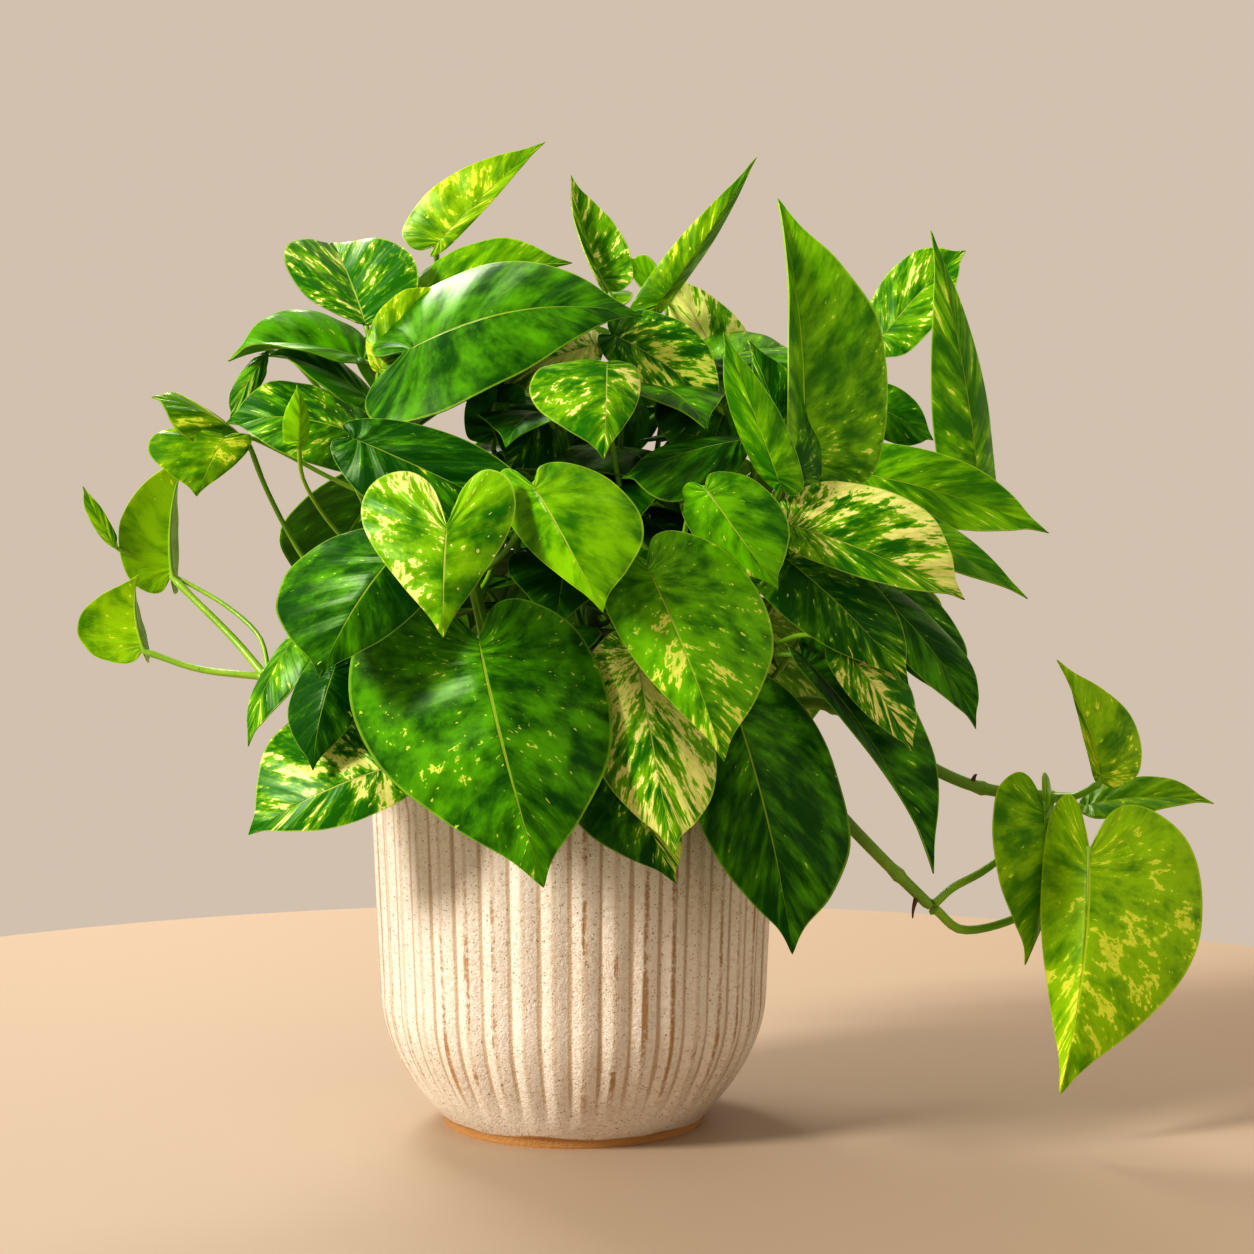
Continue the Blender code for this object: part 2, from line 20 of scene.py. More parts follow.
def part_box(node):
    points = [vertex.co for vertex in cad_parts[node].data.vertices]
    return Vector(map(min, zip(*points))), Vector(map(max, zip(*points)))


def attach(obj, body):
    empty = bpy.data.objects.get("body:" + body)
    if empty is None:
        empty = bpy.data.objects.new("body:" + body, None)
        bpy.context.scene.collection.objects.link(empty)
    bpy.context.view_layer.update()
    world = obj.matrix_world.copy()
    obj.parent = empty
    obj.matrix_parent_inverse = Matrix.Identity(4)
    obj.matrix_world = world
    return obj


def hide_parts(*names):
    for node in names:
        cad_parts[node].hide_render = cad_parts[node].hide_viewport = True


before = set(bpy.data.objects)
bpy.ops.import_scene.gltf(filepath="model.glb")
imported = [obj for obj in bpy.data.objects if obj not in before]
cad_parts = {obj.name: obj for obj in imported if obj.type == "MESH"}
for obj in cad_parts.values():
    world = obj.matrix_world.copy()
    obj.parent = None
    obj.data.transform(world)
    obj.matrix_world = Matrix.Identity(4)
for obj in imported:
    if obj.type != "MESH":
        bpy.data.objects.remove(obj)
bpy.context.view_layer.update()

MM = 0.001
CM = 0.01

# %% [markdown]
# ## Camera
#
# The plant is seen from the front, a little above the rim of its pot, from about a metre away. A
# long lens keeps the pot's sides nearly parallel. The camera could look straight at the plant and
# be shifted, but a small tilt down is how a person would hold it.

# %% Camera
CAMERA_PLACE = (0.0212, -1.100, 0.268)
CAMERA_TILT = 3.73            # degrees below the horizon
LENS = 80                     # millimetres
SENSOR = 36

camera_data = bpy.data.cameras.new("portrait_camera")
camera_data.lens = LENS
camera_data.sensor_width = SENSOR
camera = bpy.data.objects.new("portrait_camera", camera_data)
camera.location = CAMERA_PLACE
camera.rotation_euler = (math.radians(90 - CAMERA_TILT), 0, 0)
bpy.context.scene.collection.objects.link(camera)
bpy.context.scene.camera = camera
print("camera", CAMERA_PLACE, "lens", LENS, "mm")

# %% [markdown]
# ## Floor and light
#
# Glossy leaves show what is round them, so the light matters as much as the finish. The main light
# comes from high on the left, like the sun through a thin curtain: a lamp close by would light the
# near side of the floor too much. A weak lamp on the right opens the shadows, and one behind the
# plant shines through the thin leaves and draws bright lines along their edges. The pale surround
# does the rest.

# %% Floor and light
FLOOR_RADIUS = 0.52
FLOOR_STEPS = 128
FLOOR_COLOUR = (0.44, 0.345, 0.26, 1)
FLOOR_ROUGHNESS = 0.6
SURROUND_COLOUR = (0.76, 0.65, 0.55, 1)
SURROUND_STRENGTH = 0.64
KEY_PLACE = (-1.10, -0.62, 0.95)
KEY_STRENGTH = 2.7            # watts on a square metre
KEY_SPREAD = 14               # degrees across, which softens the shadows
KEY_COLOUR = (1.0, 0.965, 0.90)
# name: place, side in metres, power in watts, colour
SOFT_LAMPS = {
    "back_lamp": ((-0.40, 0.85, 1.00), 0.45, 8, (1.0, 0.96, 0.88)),
    "fill_lamp": ((1.1, -0.7, 0.5), 0.9, 0.9, (1.0, 0.96, 0.92)),
}
AIM = Vector((0, 0, 0.2))     # the middle of the plant


def hang_lamp(lamp, place):
    """Put a lamp in its place and turn it to the middle of the plant."""
    item = bpy.data.objects.new(lamp.name, lamp)
    item.location = place
    item.rotation_euler = (AIM - Vector(place)).to_track_quat("-Z", "Y").to_euler()
    bpy.context.scene.collection.objects.link(item)


def make_key_lamp():
    lamp = bpy.data.lights.new("key_lamp", "SUN")
    lamp.energy = KEY_STRENGTH
    lamp.angle = math.radians(KEY_SPREAD)
    lamp.color = KEY_COLOUR
    hang_lamp(lamp, KEY_PLACE)


def make_soft_lamp(name, place, side, power, colour):
    lamp = bpy.data.lights.new(name, "AREA")
    lamp.shape = "SQUARE"
    lamp.size = side
    lamp.energy = power
    lamp.color = colour
    hang_lamp(lamp, place)


def make_floor():
    mesh = bpy.data.meshes.new("floor")
    corners = []
    for step in range(FLOOR_STEPS):
        angle = math.tau * step / FLOOR_STEPS
        corners.append((FLOOR_RADIUS * math.cos(angle), FLOOR_RADIUS * math.sin(angle), 0))
    mesh.from_pydata(corners, [], [tuple(range(FLOOR_STEPS))])
    material = bpy.data.materials.new("pale_floor")
    material.use_nodes = True
    shader = material.node_tree.nodes["Principled BSDF"]
    shader.inputs["Base Color"].default_value = FLOOR_COLOUR
    shader.inputs["Roughness"].default_value = FLOOR_ROUGHNESS
    mesh.materials.append(material)
    floor = bpy.data.objects.new("floor", mesh)
    bpy.context.scene.collection.objects.link(floor)
    return floor


make_floor()
make_key_lamp()
for lamp_name, settings in SOFT_LAMPS.items():
    make_soft_lamp(lamp_name, *settings)
surround = bpy.data.worlds.new("surround")
surround.use_nodes = True
glow = surround.node_tree.nodes["Background"]
glow.inputs["Color"].default_value = SURROUND_COLOUR
glow.inputs["Strength"].default_value = SURROUND_STRENGTH
bpy.context.scene.world = surround
bpy.context.scene.view_settings.view_transform = "Standard"
bpy.context.scene.view_settings.look = "High Contrast"
print("lamps: key_lamp,", ", ".join(SOFT_LAMPS))

# %% [markdown]
# ## Shape tools
#
# Stems, leaf stalks and roots are all round rods on a curved line. These helpers draw a smooth
# curve through a few chosen places. Curve objects could do the same, but plain meshes let a stalk
# and its blade become one piece.

# %% Curves
def smooth_path(points, count):
    """count places on a smooth curve through the points, by the Catmull-Rom rule."""
    ends = [points[0] * 2 - points[1]] + points + [points[-1] * 2 - points[-2]]
    spans = len(points) - 1
    path = []
    for index in range(count):
        span, t = divmod(index * spans / (count - 1), 1)
        if span == spans:
            span, t = spans - 1, 1.0
        a, b, c, d = ends[int(span) : int(span) + 4]
        path.append(
            (b * 2 + (c - a) * t + (a * 2 - b * 5 + c * 4 - d) * t**2
             + (b * 3 - a - c * 3 + d) * t**3) / 2
        )
    return path


def bezier(points, count):
    """count places on the cubic Bezier curve of four points."""
    a, b, c, d = points
    path = []
    for index in range(count):
        t = index / (count - 1)
        u = 1 - t
        path.append(a * u**3 + b * (3 * u * u * t) + c * (3 * u * t * t) + d * t**3)
    return path


def on_path(path, share):
    """The place and the direction at a share of the way along a path."""
    index, t = divmod(share * (len(path) - 1), 1)
    if index >= len(path) - 1:
        index, t = len(path) - 2, 1.0
    start, end = path[int(index)], path[int(index) + 1]
    return start.lerp(end, t), (end - start).normalized()


print("curve tools ready")

# %% [markdown]
# ## Rods and pieces
#
# A rod is a row of rings with faces between them. Every finished piece rides on the frame and
# hides the parts of the frame that it stands for.

# %% Rods and pieces
SLIM_SIDES = 8                # sides of stalks and roots, and stems have more
SHARP_ANGLE = 55              # degrees, above which an edge stays sharp


def tube_faces(bands, sides):
    """The faces between rings of corners, one band of them after another."""
    faces = []
    for ring in range(bands):
        for side in range(sides):
            here = ring * sides + side
            beside = ring * sides + (side + 1) % sides
            faces.append((here, beside, beside + sides, here + sides))
    return faces


def rod(path, radii, sides):
    """The corners and faces of a closed round rod with a radius at each place of its path."""
    corners = []
    last = len(path) - 1
    across = None
    for index, (point, radius) in enumerate(zip(path, radii)):
        ahead = (path[min(index + 1, last)] - path[max(index - 1, 0)]).normalized()
        if across is None:
            across = ahead.orthogonal().normalized()
        across = (across - ahead * across.dot(ahead)).normalized()
        up = ahead.cross(across)
        for side in range(sides):
            angle = math.tau * side / sides
            corners.append(point + (across * math.cos(angle) + up * math.sin(angle)) * radius)
    faces = tube_faces(last, sides)
    faces.append(tuple(reversed(range(sides))))
    faces.append(tuple(last * sides + side for side in range(sides)))
    return corners, faces


def new_piece(name, corners, faces, materials, slot, replaced=()):
    """A smooth piece of the plant that rides on the frame. Its slot is not used."""
    mesh = bpy.data.meshes.new(name)
    mesh.from_pydata(corners, [], faces)
    for material in materials:
        mesh.materials.append(material)
    mesh.shade_smooth()
    mesh.set_sharp_from_angle(angle=math.radians(SHARP_ANGLE))
    piece = bpy.data.objects.new(name, mesh)
    bpy.context.scene.collection.objects.link(piece)
    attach(piece, "root")
    if replaced:
        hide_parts(*replaced)
    return piece


def add_map(piece, name, places):
    """Give every corner of a piece a place in a flat map that the finishes read."""
    layer = piece.data.uv_layers.new(name=name)
    for loop in piece.data.loops:
        layer.data[loop.index].uv = places[loop.vertex_index]


print("rod tools ready, slim rods have", SLIM_SIDES, "sides")

# %% [markdown]
# ## Signals
#
# A finish is a network of nodes. Written out one by one they are hard to follow, so here they read
# like arithmetic: a Signal holds the result of one node, and a sum or a product of signals adds the
# node that works it out.

# %% Signals
class Signal:
    """A node's result. Arithmetic on it adds the math nodes that work it out."""

    def __init__(self, socket):
        self.socket = socket
        self.tree = socket.id_data

    def math(self, operation, *others):
        """A math node of this result and others, which are numbers or results."""
        node = self.tree.nodes.new("ShaderNodeMath")
        node.operation = operation
        for socket, value in zip(node.inputs, (self, *others)):
            fill(socket, value)
        return Signal(node.outputs[0])

    def __add__(self, other):
        return self.math("ADD", other)

    def __sub__(self, other):
        return self.math("SUBTRACT", other)

    def __mul__(self, other):
        return self.math("MULTIPLY", other)

    def rise(self, low, high, to_low=0.0, to_high=1.0):
        """A soft step: to_low below low, to_high above high."""
        node = self.tree.nodes.new("ShaderNodeMapRange")
        node.interpolation_type = "SMOOTHSTEP"
        labels = ("Value", "From Min", "From Max", "To Min", "To Max")
        for label, value in zip(labels, (self, low, high, to_low, to_high)):
            fill(node.inputs[label], value)
        return Signal(node.outputs["Result"])

    def clouds(self, scale, detail=2.0, roughness=0.5):
        """Soft noise between 0 and 1, at the places that this vector gives."""
        node = self.tree.nodes.new("ShaderNodeTexNoise")
        labels = ("Vector", "Scale", "Detail", "Roughness")
        for label, value in zip(labels, (self, scale, detail, roughness)):
            fill(node.inputs[label], value)
        return Signal(node.outputs["Fac"])

    def parts(self):
        """The three numbers of a vector or a colour."""
        node = self.tree.nodes.new("ShaderNodeSeparateXYZ")
        fill(node.inputs[0], self)
        return [Signal(socket) for socket in node.outputs]


def fill(socket, value):
    """Set an input to a number or colour, or link it to another node's result."""
    if isinstance(value, Signal):
        socket.id_data.links.new(value.socket, socket)
    else:
        socket.default_value = value


def blend(tree, share, first, second):
    """The first colour where share is 0, the second where it is 1."""
    node = tree.nodes.new("ShaderNodeMix")
    node.data_type = "RGBA"
    for number, value in ((0, share), (6, first), (7, second)):
        fill(node.inputs[number], value)
    return Signal(node.outputs[2])


def vector_of(x, y, z=0.0):
    node = x.tree.nodes.new("ShaderNodeCombineXYZ")
    for socket, value in zip(node.inputs, (x, y, z)):
        fill(socket, value)
    return Signal(node.outputs[0])


def map_places(tree, name):
    node = tree.nodes.new("ShaderNodeUVMap")
    node.uv_map = name
    return Signal(node.outputs[0])


def object_places(tree):
    return Signal(tree.nodes.new("ShaderNodeTexCoord").outputs["Object"])


print("signals ready")

# %% [markdown]
# ## Groups and materials
#
# A group is a network that many materials share. It takes numbers and colours and gives back masks,
# colours and heights, and never a whole surface. The plain settings of a finish stay on the
# material's own shader.

# %% Groups and materials
def new_group(name, inputs, outputs):
    """An empty node group. Gives back its tree, the results of its inputs, and its outputs."""
    tree = bpy.data.node_groups.new(name, "ShaderNodeTree")
    for label, kind, value in inputs:
        socket = tree.interface.new_socket(label, in_out="INPUT", socket_type=kind)
        if value is not None:
            socket.default_value = value
    for label, kind in outputs:
        tree.interface.new_socket(label, in_out="OUTPUT", socket_type=kind)
    entry = tree.nodes.new("NodeGroupInput").outputs
    leave = tree.nodes.new("NodeGroupOutput").inputs
    return tree, {label: Signal(entry[label]) for label, _, _ in inputs}, leave


def place_group(tree, group, **values):
    """Put a group in a material with its own values. Names use _ where the socket has a space."""
    node = tree.nodes.new("ShaderNodeGroup")
    node.node_tree = group
    for name, value in values.items():
        fill(node.inputs[name.replace("_", " ")], value)
    return {socket.name: Signal(socket) for socket in node.outputs}


def new_material(name, **settings):
    """A material and its Principled shader, with plain settings put straight on the shader."""
    material = bpy.data.materials.new(name)
    material.use_nodes = True
    tree = material.node_tree
    shader = tree.nodes["Principled BSDF"]
    for label, value in settings.items():
        shader.inputs[label.replace("_", " ")].default_value = value
    return material, tree, shader


def add_relief(shader, height, depth, strength=1.0):
    """Let a height pattern tilt the surface, as relief of this depth in metres."""
    bump = height.tree.nodes.new("ShaderNodeBump")
    for label, value in (("Strength", strength), ("Distance", depth), ("Height", height)):
        fill(bump.inputs[label], value)
    fill(shader.inputs["Normal"], Signal(bump.outputs[0]))


FLOAT = "NodeSocketFloat"
COLOUR = "NodeSocketColor"
VECTOR = "NodeSocketVector"
print("group and material helpers ready")

# %% [markdown]
# ## Specks, shared by pot, soil and stems
#
# Iron specks in the glaze, crumbs in the soil and freckles on a stem are the same idea: small
# spots at random places, in random sizes. A Voronoi pattern gives one point to each cell, and the
# distance to it makes a round spot. One group does this for all three finishes.

# %% Speck group
def make_speck_group():
    tree, given, result = new_group(
        "specks",
        [("Vector", VECTOR, None), ("Scale", FLOAT, 400.0), ("Size", FLOAT, 0.25), ("Share", FLOAT, 0.5)],
        [("Mask", FLOAT)],
    )
    cells = tree.nodes.new("ShaderNodeTexVoronoi")
    fill(cells.inputs["Vector"], given["Vector"])
    fill(cells.inputs["Scale"], given["Scale"])
    chosen, largeness, _ = Signal(cells.outputs["Color"]).parts()
    size = given["Size"] * largeness
    spot = Signal(cells.outputs["Distance"]).rise(size * 0.6, size, 1.0, 0.0)
    fill(result["Mask"], spot * chosen.math("LESS_THAN", given["Share"]))
    return tree


def specks(tree, places, scale, size, share):
    """A mask of round specks: a share of the cells holds one, up to this size."""
    return place_group(tree, SPECKS, Vector=places, Scale=scale, Size=size, Share=share)["Mask"]


SPECKS = make_speck_group()
print("group:", SPECKS.name)

# %% [markdown]
# ## The pot
#
# The pot is thrown stoneware with 42 upright ribs cut into its wall. The frame's pot has the right
# size, but only a few faces to each rib. Here the same profile is turned with twelve faces to a
# rib, so that the ribs are round, the grooves between them narrow, and the lip soft. A potter's
# tool never cuts twice the same, so each rib gets its own small error in depth.

# %% Pot profile
RIM_RADIUS, _, POT_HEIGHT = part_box("ribbed_pot")[1]
BELLY_RADIUS = 77 * MM
BOWL_HEIGHT = 50 * MM
FOOT_RADIUS = 53 * MM
FOOT_HEIGHT = 3.5 * MM
FOOT_CHAMFER = 1.2 * MM
WALL = 6 * MM
POT_FLOOR = 9 * MM
RIB_COUNT = 42
RIB_DEPTH = 1.3 * MM
RIB_START = 6 * MM            # the grooves fade in above the foot
RIB_FADE = 16 * MM
RIM_BAND = 5 * MM             # plain lip above the grooves
RIM_FADE = 4 * MM             # where the grooves fade out below the lip
SHARP_SHARE = 0.62            # how much of a groove is a sharp valley; the rest is a soft wave
WOBBLE = 0.25 * MM            # how far the wall strays from round
WOBBLE_SINK = 0.12 * MM       # keeps the stray inside the frame's wall
FACES_PER_RIB = 12
INSIDE_STEPS = 8
LIP_STEPS = 8
OUTSIDE_STEPS = 52


def outer_radius(height):
    """The pot's outside at a height: a rounded bowl, then a nearly upright wall."""
    above_foot = max(0.0, height - FOOT_HEIGHT)
    if above_foot < BOWL_HEIGHT:
        rounding = 1 - (1 - above_foot / BOWL_HEIGHT) ** 2
        return FOOT_RADIUS + (BELLY_RADIUS - FOOT_RADIUS) * rounding
    share = (above_foot - BOWL_HEIGHT) / (POT_HEIGHT - FOOT_HEIGHT - BOWL_HEIGHT)
    return BELLY_RADIUS + (RIM_RADIUS - BELLY_RADIUS) * share


def pot_profile():
    """(radius, height) from the middle of the inside, over the lip, down to the middle of the foot."""
    lip = WALL / 2
    shoulder = POT_HEIGHT - lip
    profile = [(0.0, POT_FLOOR)]
    for step in range(INSIDE_STEPS + 1):
        height = POT_FLOOR + (shoulder - POT_FLOOR) * step / INSIDE_STEPS
        profile.append((outer_radius(height) - WALL, height))
    centre = outer_radius(shoulder) - lip
    for turn in range(1, LIP_STEPS):
        angle = math.pi * (1 - turn / LIP_STEPS)
        profile.append((centre + lip * math.cos(angle), shoulder + lip * math.sin(angle)))
    for step in range(OUTSIDE_STEPS + 1):
        height = shoulder + (FOOT_HEIGHT - shoulder) * step / OUTSIDE_STEPS
        profile.append((outer_radius(height), height))
    profile.append((FOOT_RADIUS - 0.6 * MM, FOOT_HEIGHT - 0.5 * MM))
    profile.append((FOOT_RADIUS - 0.7 * MM, FOOT_CHAMFER))
    profile.append((FOOT_RADIUS - FOOT_CHAMFER, 0.0))
    profile.append((0.0, 0.0))
    return profile


def rib_groove(angle):
    """0 on a rib's crest and 1 in a groove: round ribs with narrow grooves between them."""
    sharp = 1 - abs(math.cos(angle * RIB_COUNT / 2))
    soft = 0.5 - 0.5 * math.cos(angle * RIB_COUNT)
    return SHARP_SHARE * sharp + (1 - SHARP_SHARE) * soft


def rib_strength(height):
    """How deep the grooves are at a height, from 0 to 1: they fade out at the foot and the lip."""
    rise_in = min(1.0, max(0.0, (height - RIB_START) / RIB_FADE))
    fade_out = min(1.0, max(0.0, (POT_HEIGHT - RIM_BAND - height) / RIM_FADE))
    return rise_in * rise_in * (3 - 2 * rise_in) * fade_out


print("pot profile:", len(pot_profile()), "places")

# %% [markdown]
# ## Turning the pot
#
# The profile is turned round the middle axis, ring by ring. Each corner also notes which rib it is
# on and how high it is, for the glaze. The inside has no ribs, and its height is noted as -1.

# %% Pot shape
def make_pot_shape():
    chance = random.Random(42)
    own_depth = [chance.uniform(0.82, 1.12) for _ in range(RIB_COUNT)]
    steps = RIB_COUNT * FACES_PER_RIB
    profile = pot_profile()
    corners, rib_map = [], []
    rings = profile[1:-1]
    for radius, height in rings:
        outside = radius > outer_radius(height) - WALL / 2 and height > FOOT_HEIGHT
        for step in range(steps):
            angle = math.tau * step / steps
            own = own_depth[int((step / FACES_PER_RIB + 0.5) % RIB_COUNT)]
            reach = radius
            if outside:
                around = Vector((3 * math.cos(angle), 3 * math.sin(angle), height * 30))
                reach -= RIB_DEPTH * own * rib_groove(angle) * rib_strength(height)
                reach += WOBBLE * noise.noise(around) - WOBBLE_SINK
            corners.append(Vector((reach * math.cos(angle), reach * math.sin(angle), height)))
            rib_map.append((step / FACES_PER_RIB, height / CM if outside else -1.0))
    faces = tube_faces(len(rings) - 1, steps)
    corners += [Vector((0, 0, profile[0][1])), Vector((0, 0, profile[-1][1]))]
    rib_map += [(0.0, -1.0), (0.0, -1.0)]
    inside_middle, foot_middle = len(corners) - 2, len(corners) - 1
    last_ring = (len(rings) - 1) * steps
    for step in range(steps):
        beside = (step + 1) % steps
        faces.append((inside_middle, beside, step))
        faces.append((foot_middle, last_ring + step, last_ring + beside))
    return corners, [tuple(reversed(face)) for face in faces], rib_map


pot_corners, pot_faces, pot_rib_map = make_pot_shape()
print("pot:", len(pot_faces), "faces, rim radius", round(RIM_RADIUS, 4))

# %% [markdown]
# ## The pot's glaze
#
# The glaze is a cream white that is thick in the flats and thin where the ribs stick out. There
# the iron in the clay breaks through as rusty, broken lines. The grooves are painted tan as shade.
# Dark specks are everywhere, and below a wavy edge the foot is bare ochre clay.
# The ribs are found by the pot's own flat map: one unit across is one rib.

# %% Glaze
GLAZE_WHITE = (0.87, 0.81, 0.72, 1)
GLAZE_TAN = (0.52, 0.385, 0.255, 1)
GLAZE_RUST = (0.47, 0.27, 0.125, 1)
SPECK_BROWN = (0.20, 0.115, 0.055, 1)
BARE_CLAY = (0.50, 0.27, 0.09, 1)


def make_glaze():
    material, tree, shader = new_material(
        "speckled_glaze", Coat_Weight=0.45, Coat_Roughness=0.12, Specular_IOR_Level=0.5
    )
    across, height, _ = map_places(tree, "ribs").parts()
    places = object_places(tree)
    x, y, z = places.parts()
    fade = height.math("GREATER_THAN", 0.0) * z.rise(0.010, 0.030)
    upright = vector_of(x, y, z * 0.14)
    drift = upright.clouds(95.0, 4.0, 0.62)
    broad = places.clouds(22.0, 3.0)
    grain = places.clouds(520.0, 4.0, 0.75)
    crackle = places.clouds(1300.0, 2.0, 0.7)

    # One unit across is one rib, with its crest at the whole numbers. Noise moves the lines a little.
    from_crest = across.math("PINGPONG", 0.5)
    wandering = drift * 0.17 + (from_crest - 0.085)
    crest = wandering.rise(0.030, 0.140, 1.0, 0.0)
    # Painted shade: the mask of the narrow grooves, which are darkened to tan.
    groove = wandering.rise(0.395, 0.470)

    # Rust shows on the crests, torn into short lines, and more on some ribs than on others.
    worn_ribs = vector_of(x, y).clouds(34.0, 1.0)
    torn = upright.clouds(60.0, 5.0, 0.7)
    breaks = (worn_ribs * 0.7 + torn).rise(0.76, 1.02)
    ragged = (breaks * 0.50 + grain).rise(0.60, 0.92)
    rust = crest * ragged * fade

    mottled = (grain * 0.8 + broad * 0.5).rise(0.50, 0.95, 0.0, 0.55)
    base = blend(tree, mottled, GLAZE_WHITE, GLAZE_TAN)
    # Painted shade in the grooves.
    groove_shaded = blend(tree, groove * 0.85 * fade, base, GLAZE_TAN)
    warmed = blend(tree, crest * fade * 0.40, groove_shaded, GLAZE_TAN)
    rusty = blend(tree, rust, warmed, GLAZE_RUST)
    small = specks(tree, places, 1050.0, 0.55, 0.42) * 0.50
    large = specks(tree, places, 420.0, 0.24, 0.30) * 0.75
    speckled = blend(tree, small.math("MAXIMUM", large), rusty, SPECK_BROWN)

    # Below a wavy edge the foot is bare clay.
    edge = (broad - 0.5) * 0.009 + z
    bare = edge.rise(0.0034, 0.0044, 1.0, 0.0)
    clay = blend(tree, grain.rise(0.3, 0.8, 0.0, 0.5), BARE_CLAY, GLAZE_RUST)
    fill(shader.inputs["Base Color"], blend(tree, bare, speckled, clay))

    worn = (rust * 0.8).math("MAXIMUM", bare)
    fill(shader.inputs["Roughness"], worn.rise(0.0, 1.0, 0.32, 0.72))
    add_relief(shader, grain * 0.9 + crackle * 0.5 - rust * 0.8, 0.7 * MM, 0.9)
    return material


pot = new_piece(
    "ribbed_pot_glazed", pot_corners, pot_faces, [make_glaze()], "glazed_stoneware", ["ribbed_pot"]
)
add_map(pot, "ribs", pot_rib_map)
print("glazed:", pot.name)

# %% [markdown]
# ## The soil
#
# Potting soil is dark, loose and lumpy: peat with bits of bark and white perlite in it. A flat
# disc would give it away from above, so a disc of fine rings is pushed up and down by noise.

# %% Soil
SOIL_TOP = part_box("potting_soil")[1][2]
SOIL_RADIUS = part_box("potting_soil")[1][0]
SOIL_RINGS = 34
SOIL_STEPS = 120
SOIL_LUMP = 1.6 * MM
SOIL_DEPTH = 14 * MM          # only the top layer is modelled: nothing shows below it
PEAT_BROWN = (0.040, 0.024, 0.014, 1)
PEAT_ROUGHNESS = 0.95


def soil_height(x, y):
    """The soil's height at a place: lumps, and a slow fall towards the wall."""
    fall = 2.5 * MM * (math.hypot(x, y) / SOIL_RADIUS) ** 4
    lumps = noise.fractal(Vector((x * 95, y * 95, 0.3)), 0.6, 2.2, 4)
    return SOIL_TOP + SOIL_LUMP * (lumps - 0.35) - fall


def shade(colour, factor):
    """A colour made darker or lighter."""
    return tuple(min(1.0, channel * factor) for channel in colour[:3]) + (1,)


def make_soil_finish(name, colour, roughness):
    material, tree, shader = new_material(name)
    places = object_places(tree)
    damp = places.clouds(240.0, 5.0, 0.7)
    crumbs = specks(tree, places, 620.0, 0.35, 0.25)
    base = blend(tree, damp.rise(0.35, 0.65), shade(colour, 0.42), colour)
    fill(shader.inputs["Base Color"], blend(tree, crumbs * 0.5, base, shade(colour, 2.4)))
    fill(shader.inputs["Roughness"], damp.rise(0.3, 0.7, roughness - 0.2, roughness))
    add_relief(shader, damp, 0.8 * MM)
    return material


def soil_disc():
    corners, faces = [Vector((0, 0, soil_height(0, 0)))], []
    for ring in range(1, SOIL_RINGS + 1):
        radius = SOIL_RADIUS * ring / SOIL_RINGS
        for step in range(SOIL_STEPS):
            angle = math.tau * step / SOIL_STEPS
            x, y = radius * math.cos(angle), radius * math.sin(angle)
            corners.append(Vector((x, y, soil_height(x, y))))
    for step in range(SOIL_STEPS):
        beside = (step + 1) % SOIL_STEPS
        faces.append((0, 1 + step, 1 + beside))
        for ring in range(SOIL_RINGS - 1):
            here, there = 1 + ring * SOIL_STEPS + step, 1 + ring * SOIL_STEPS + beside
            faces.append((here, here + SOIL_STEPS, there + SOIL_STEPS, there))
    rim = 1 + (SOIL_RINGS - 1) * SOIL_STEPS
    under = len(corners)
    for step in range(SOIL_STEPS):
        edge = corners[rim + step]
        corners.append(Vector((edge.x * 0.985, edge.y * 0.985, SOIL_TOP - SOIL_DEPTH)))
    for step in range(SOIL_STEPS):
        beside = (step + 1) % SOIL_STEPS
        faces.append((rim + step, under + step, under + beside, rim + beside))
    faces.append(tuple(reversed(range(under, under + SOIL_STEPS))))
    return corners, faces


PEAT = make_soil_finish("peat", PEAT_BROWN, PEAT_ROUGHNESS)
new_piece("soil_surface", *soil_disc(), [PEAT], "soil", ["potting_soil"])
print("soil surface at", round(SOIL_TOP, 4))

# %% [markdown]
# ## Crumbs, chips and perlite
#
# Three kinds of small lumps lie on the soil. Each kind is one mesh: a rough ball, copied to random
# places and flattened, turned and dented differently each time.

# %% Crumbs
# name: how many, smallest and largest radius, flattening, colour, finish roughness
CRUMBS = {
    "soil_crumbs": (520, 0.7 * MM, 2.2 * MM, 0.8, (0.030, 0.018, 0.011, 1), 0.95),
    "bark_chips": (130, 1.6 * MM, 4.2 * MM, 0.4, (0.085, 0.045, 0.022, 1), 0.85),
    "perlite_grains": (70, 0.9 * MM, 2.0 * MM, 0.85, (0.72, 0.69, 0.62, 1), 0.8),
}


def scatter(count, smallest, largest, flat, seed):
    """Many small rough lumps on the soil, as one mesh."""
    chance = random.Random(seed)
    pattern = bmesh.new()
    bmesh.ops.create_icosphere(pattern, subdivisions=2, radius=1.0)
    lump_corners = [vertex.co.copy() for vertex in pattern.verts]
    lump_faces = [tuple(vertex.index for vertex in face.verts) for face in pattern.faces]
    pattern.free()
    corners, faces = [], []
    for _ in range(count):
        radius = (SOIL_RADIUS - largest) * math.sqrt(chance.random())
        angle = chance.uniform(0, math.tau)
        x, y = radius * math.cos(angle), radius * math.sin(angle)
        size = chance.uniform(smallest, largest)
        turn = Matrix.Rotation(chance.uniform(0, math.tau), 3, "Z")
        tilt = Matrix.Rotation(chance.uniform(-0.5, 0.5), 3, "X")
        shape = turn @ tilt @ Matrix.Diagonal((size, size * chance.uniform(0.5, 1), size * flat))
        place = Vector((x, y, soil_height(x, y) + size * flat * 0.35))
        first = len(corners)
        for corner in lump_corners:
            rough = 1 + 0.35 * noise.noise(corner * 1.7 + place * 900)
            corners.append(place + shape @ (corner * rough))
        faces += [tuple(first + index for index in face) for face in lump_faces]
    return corners, faces


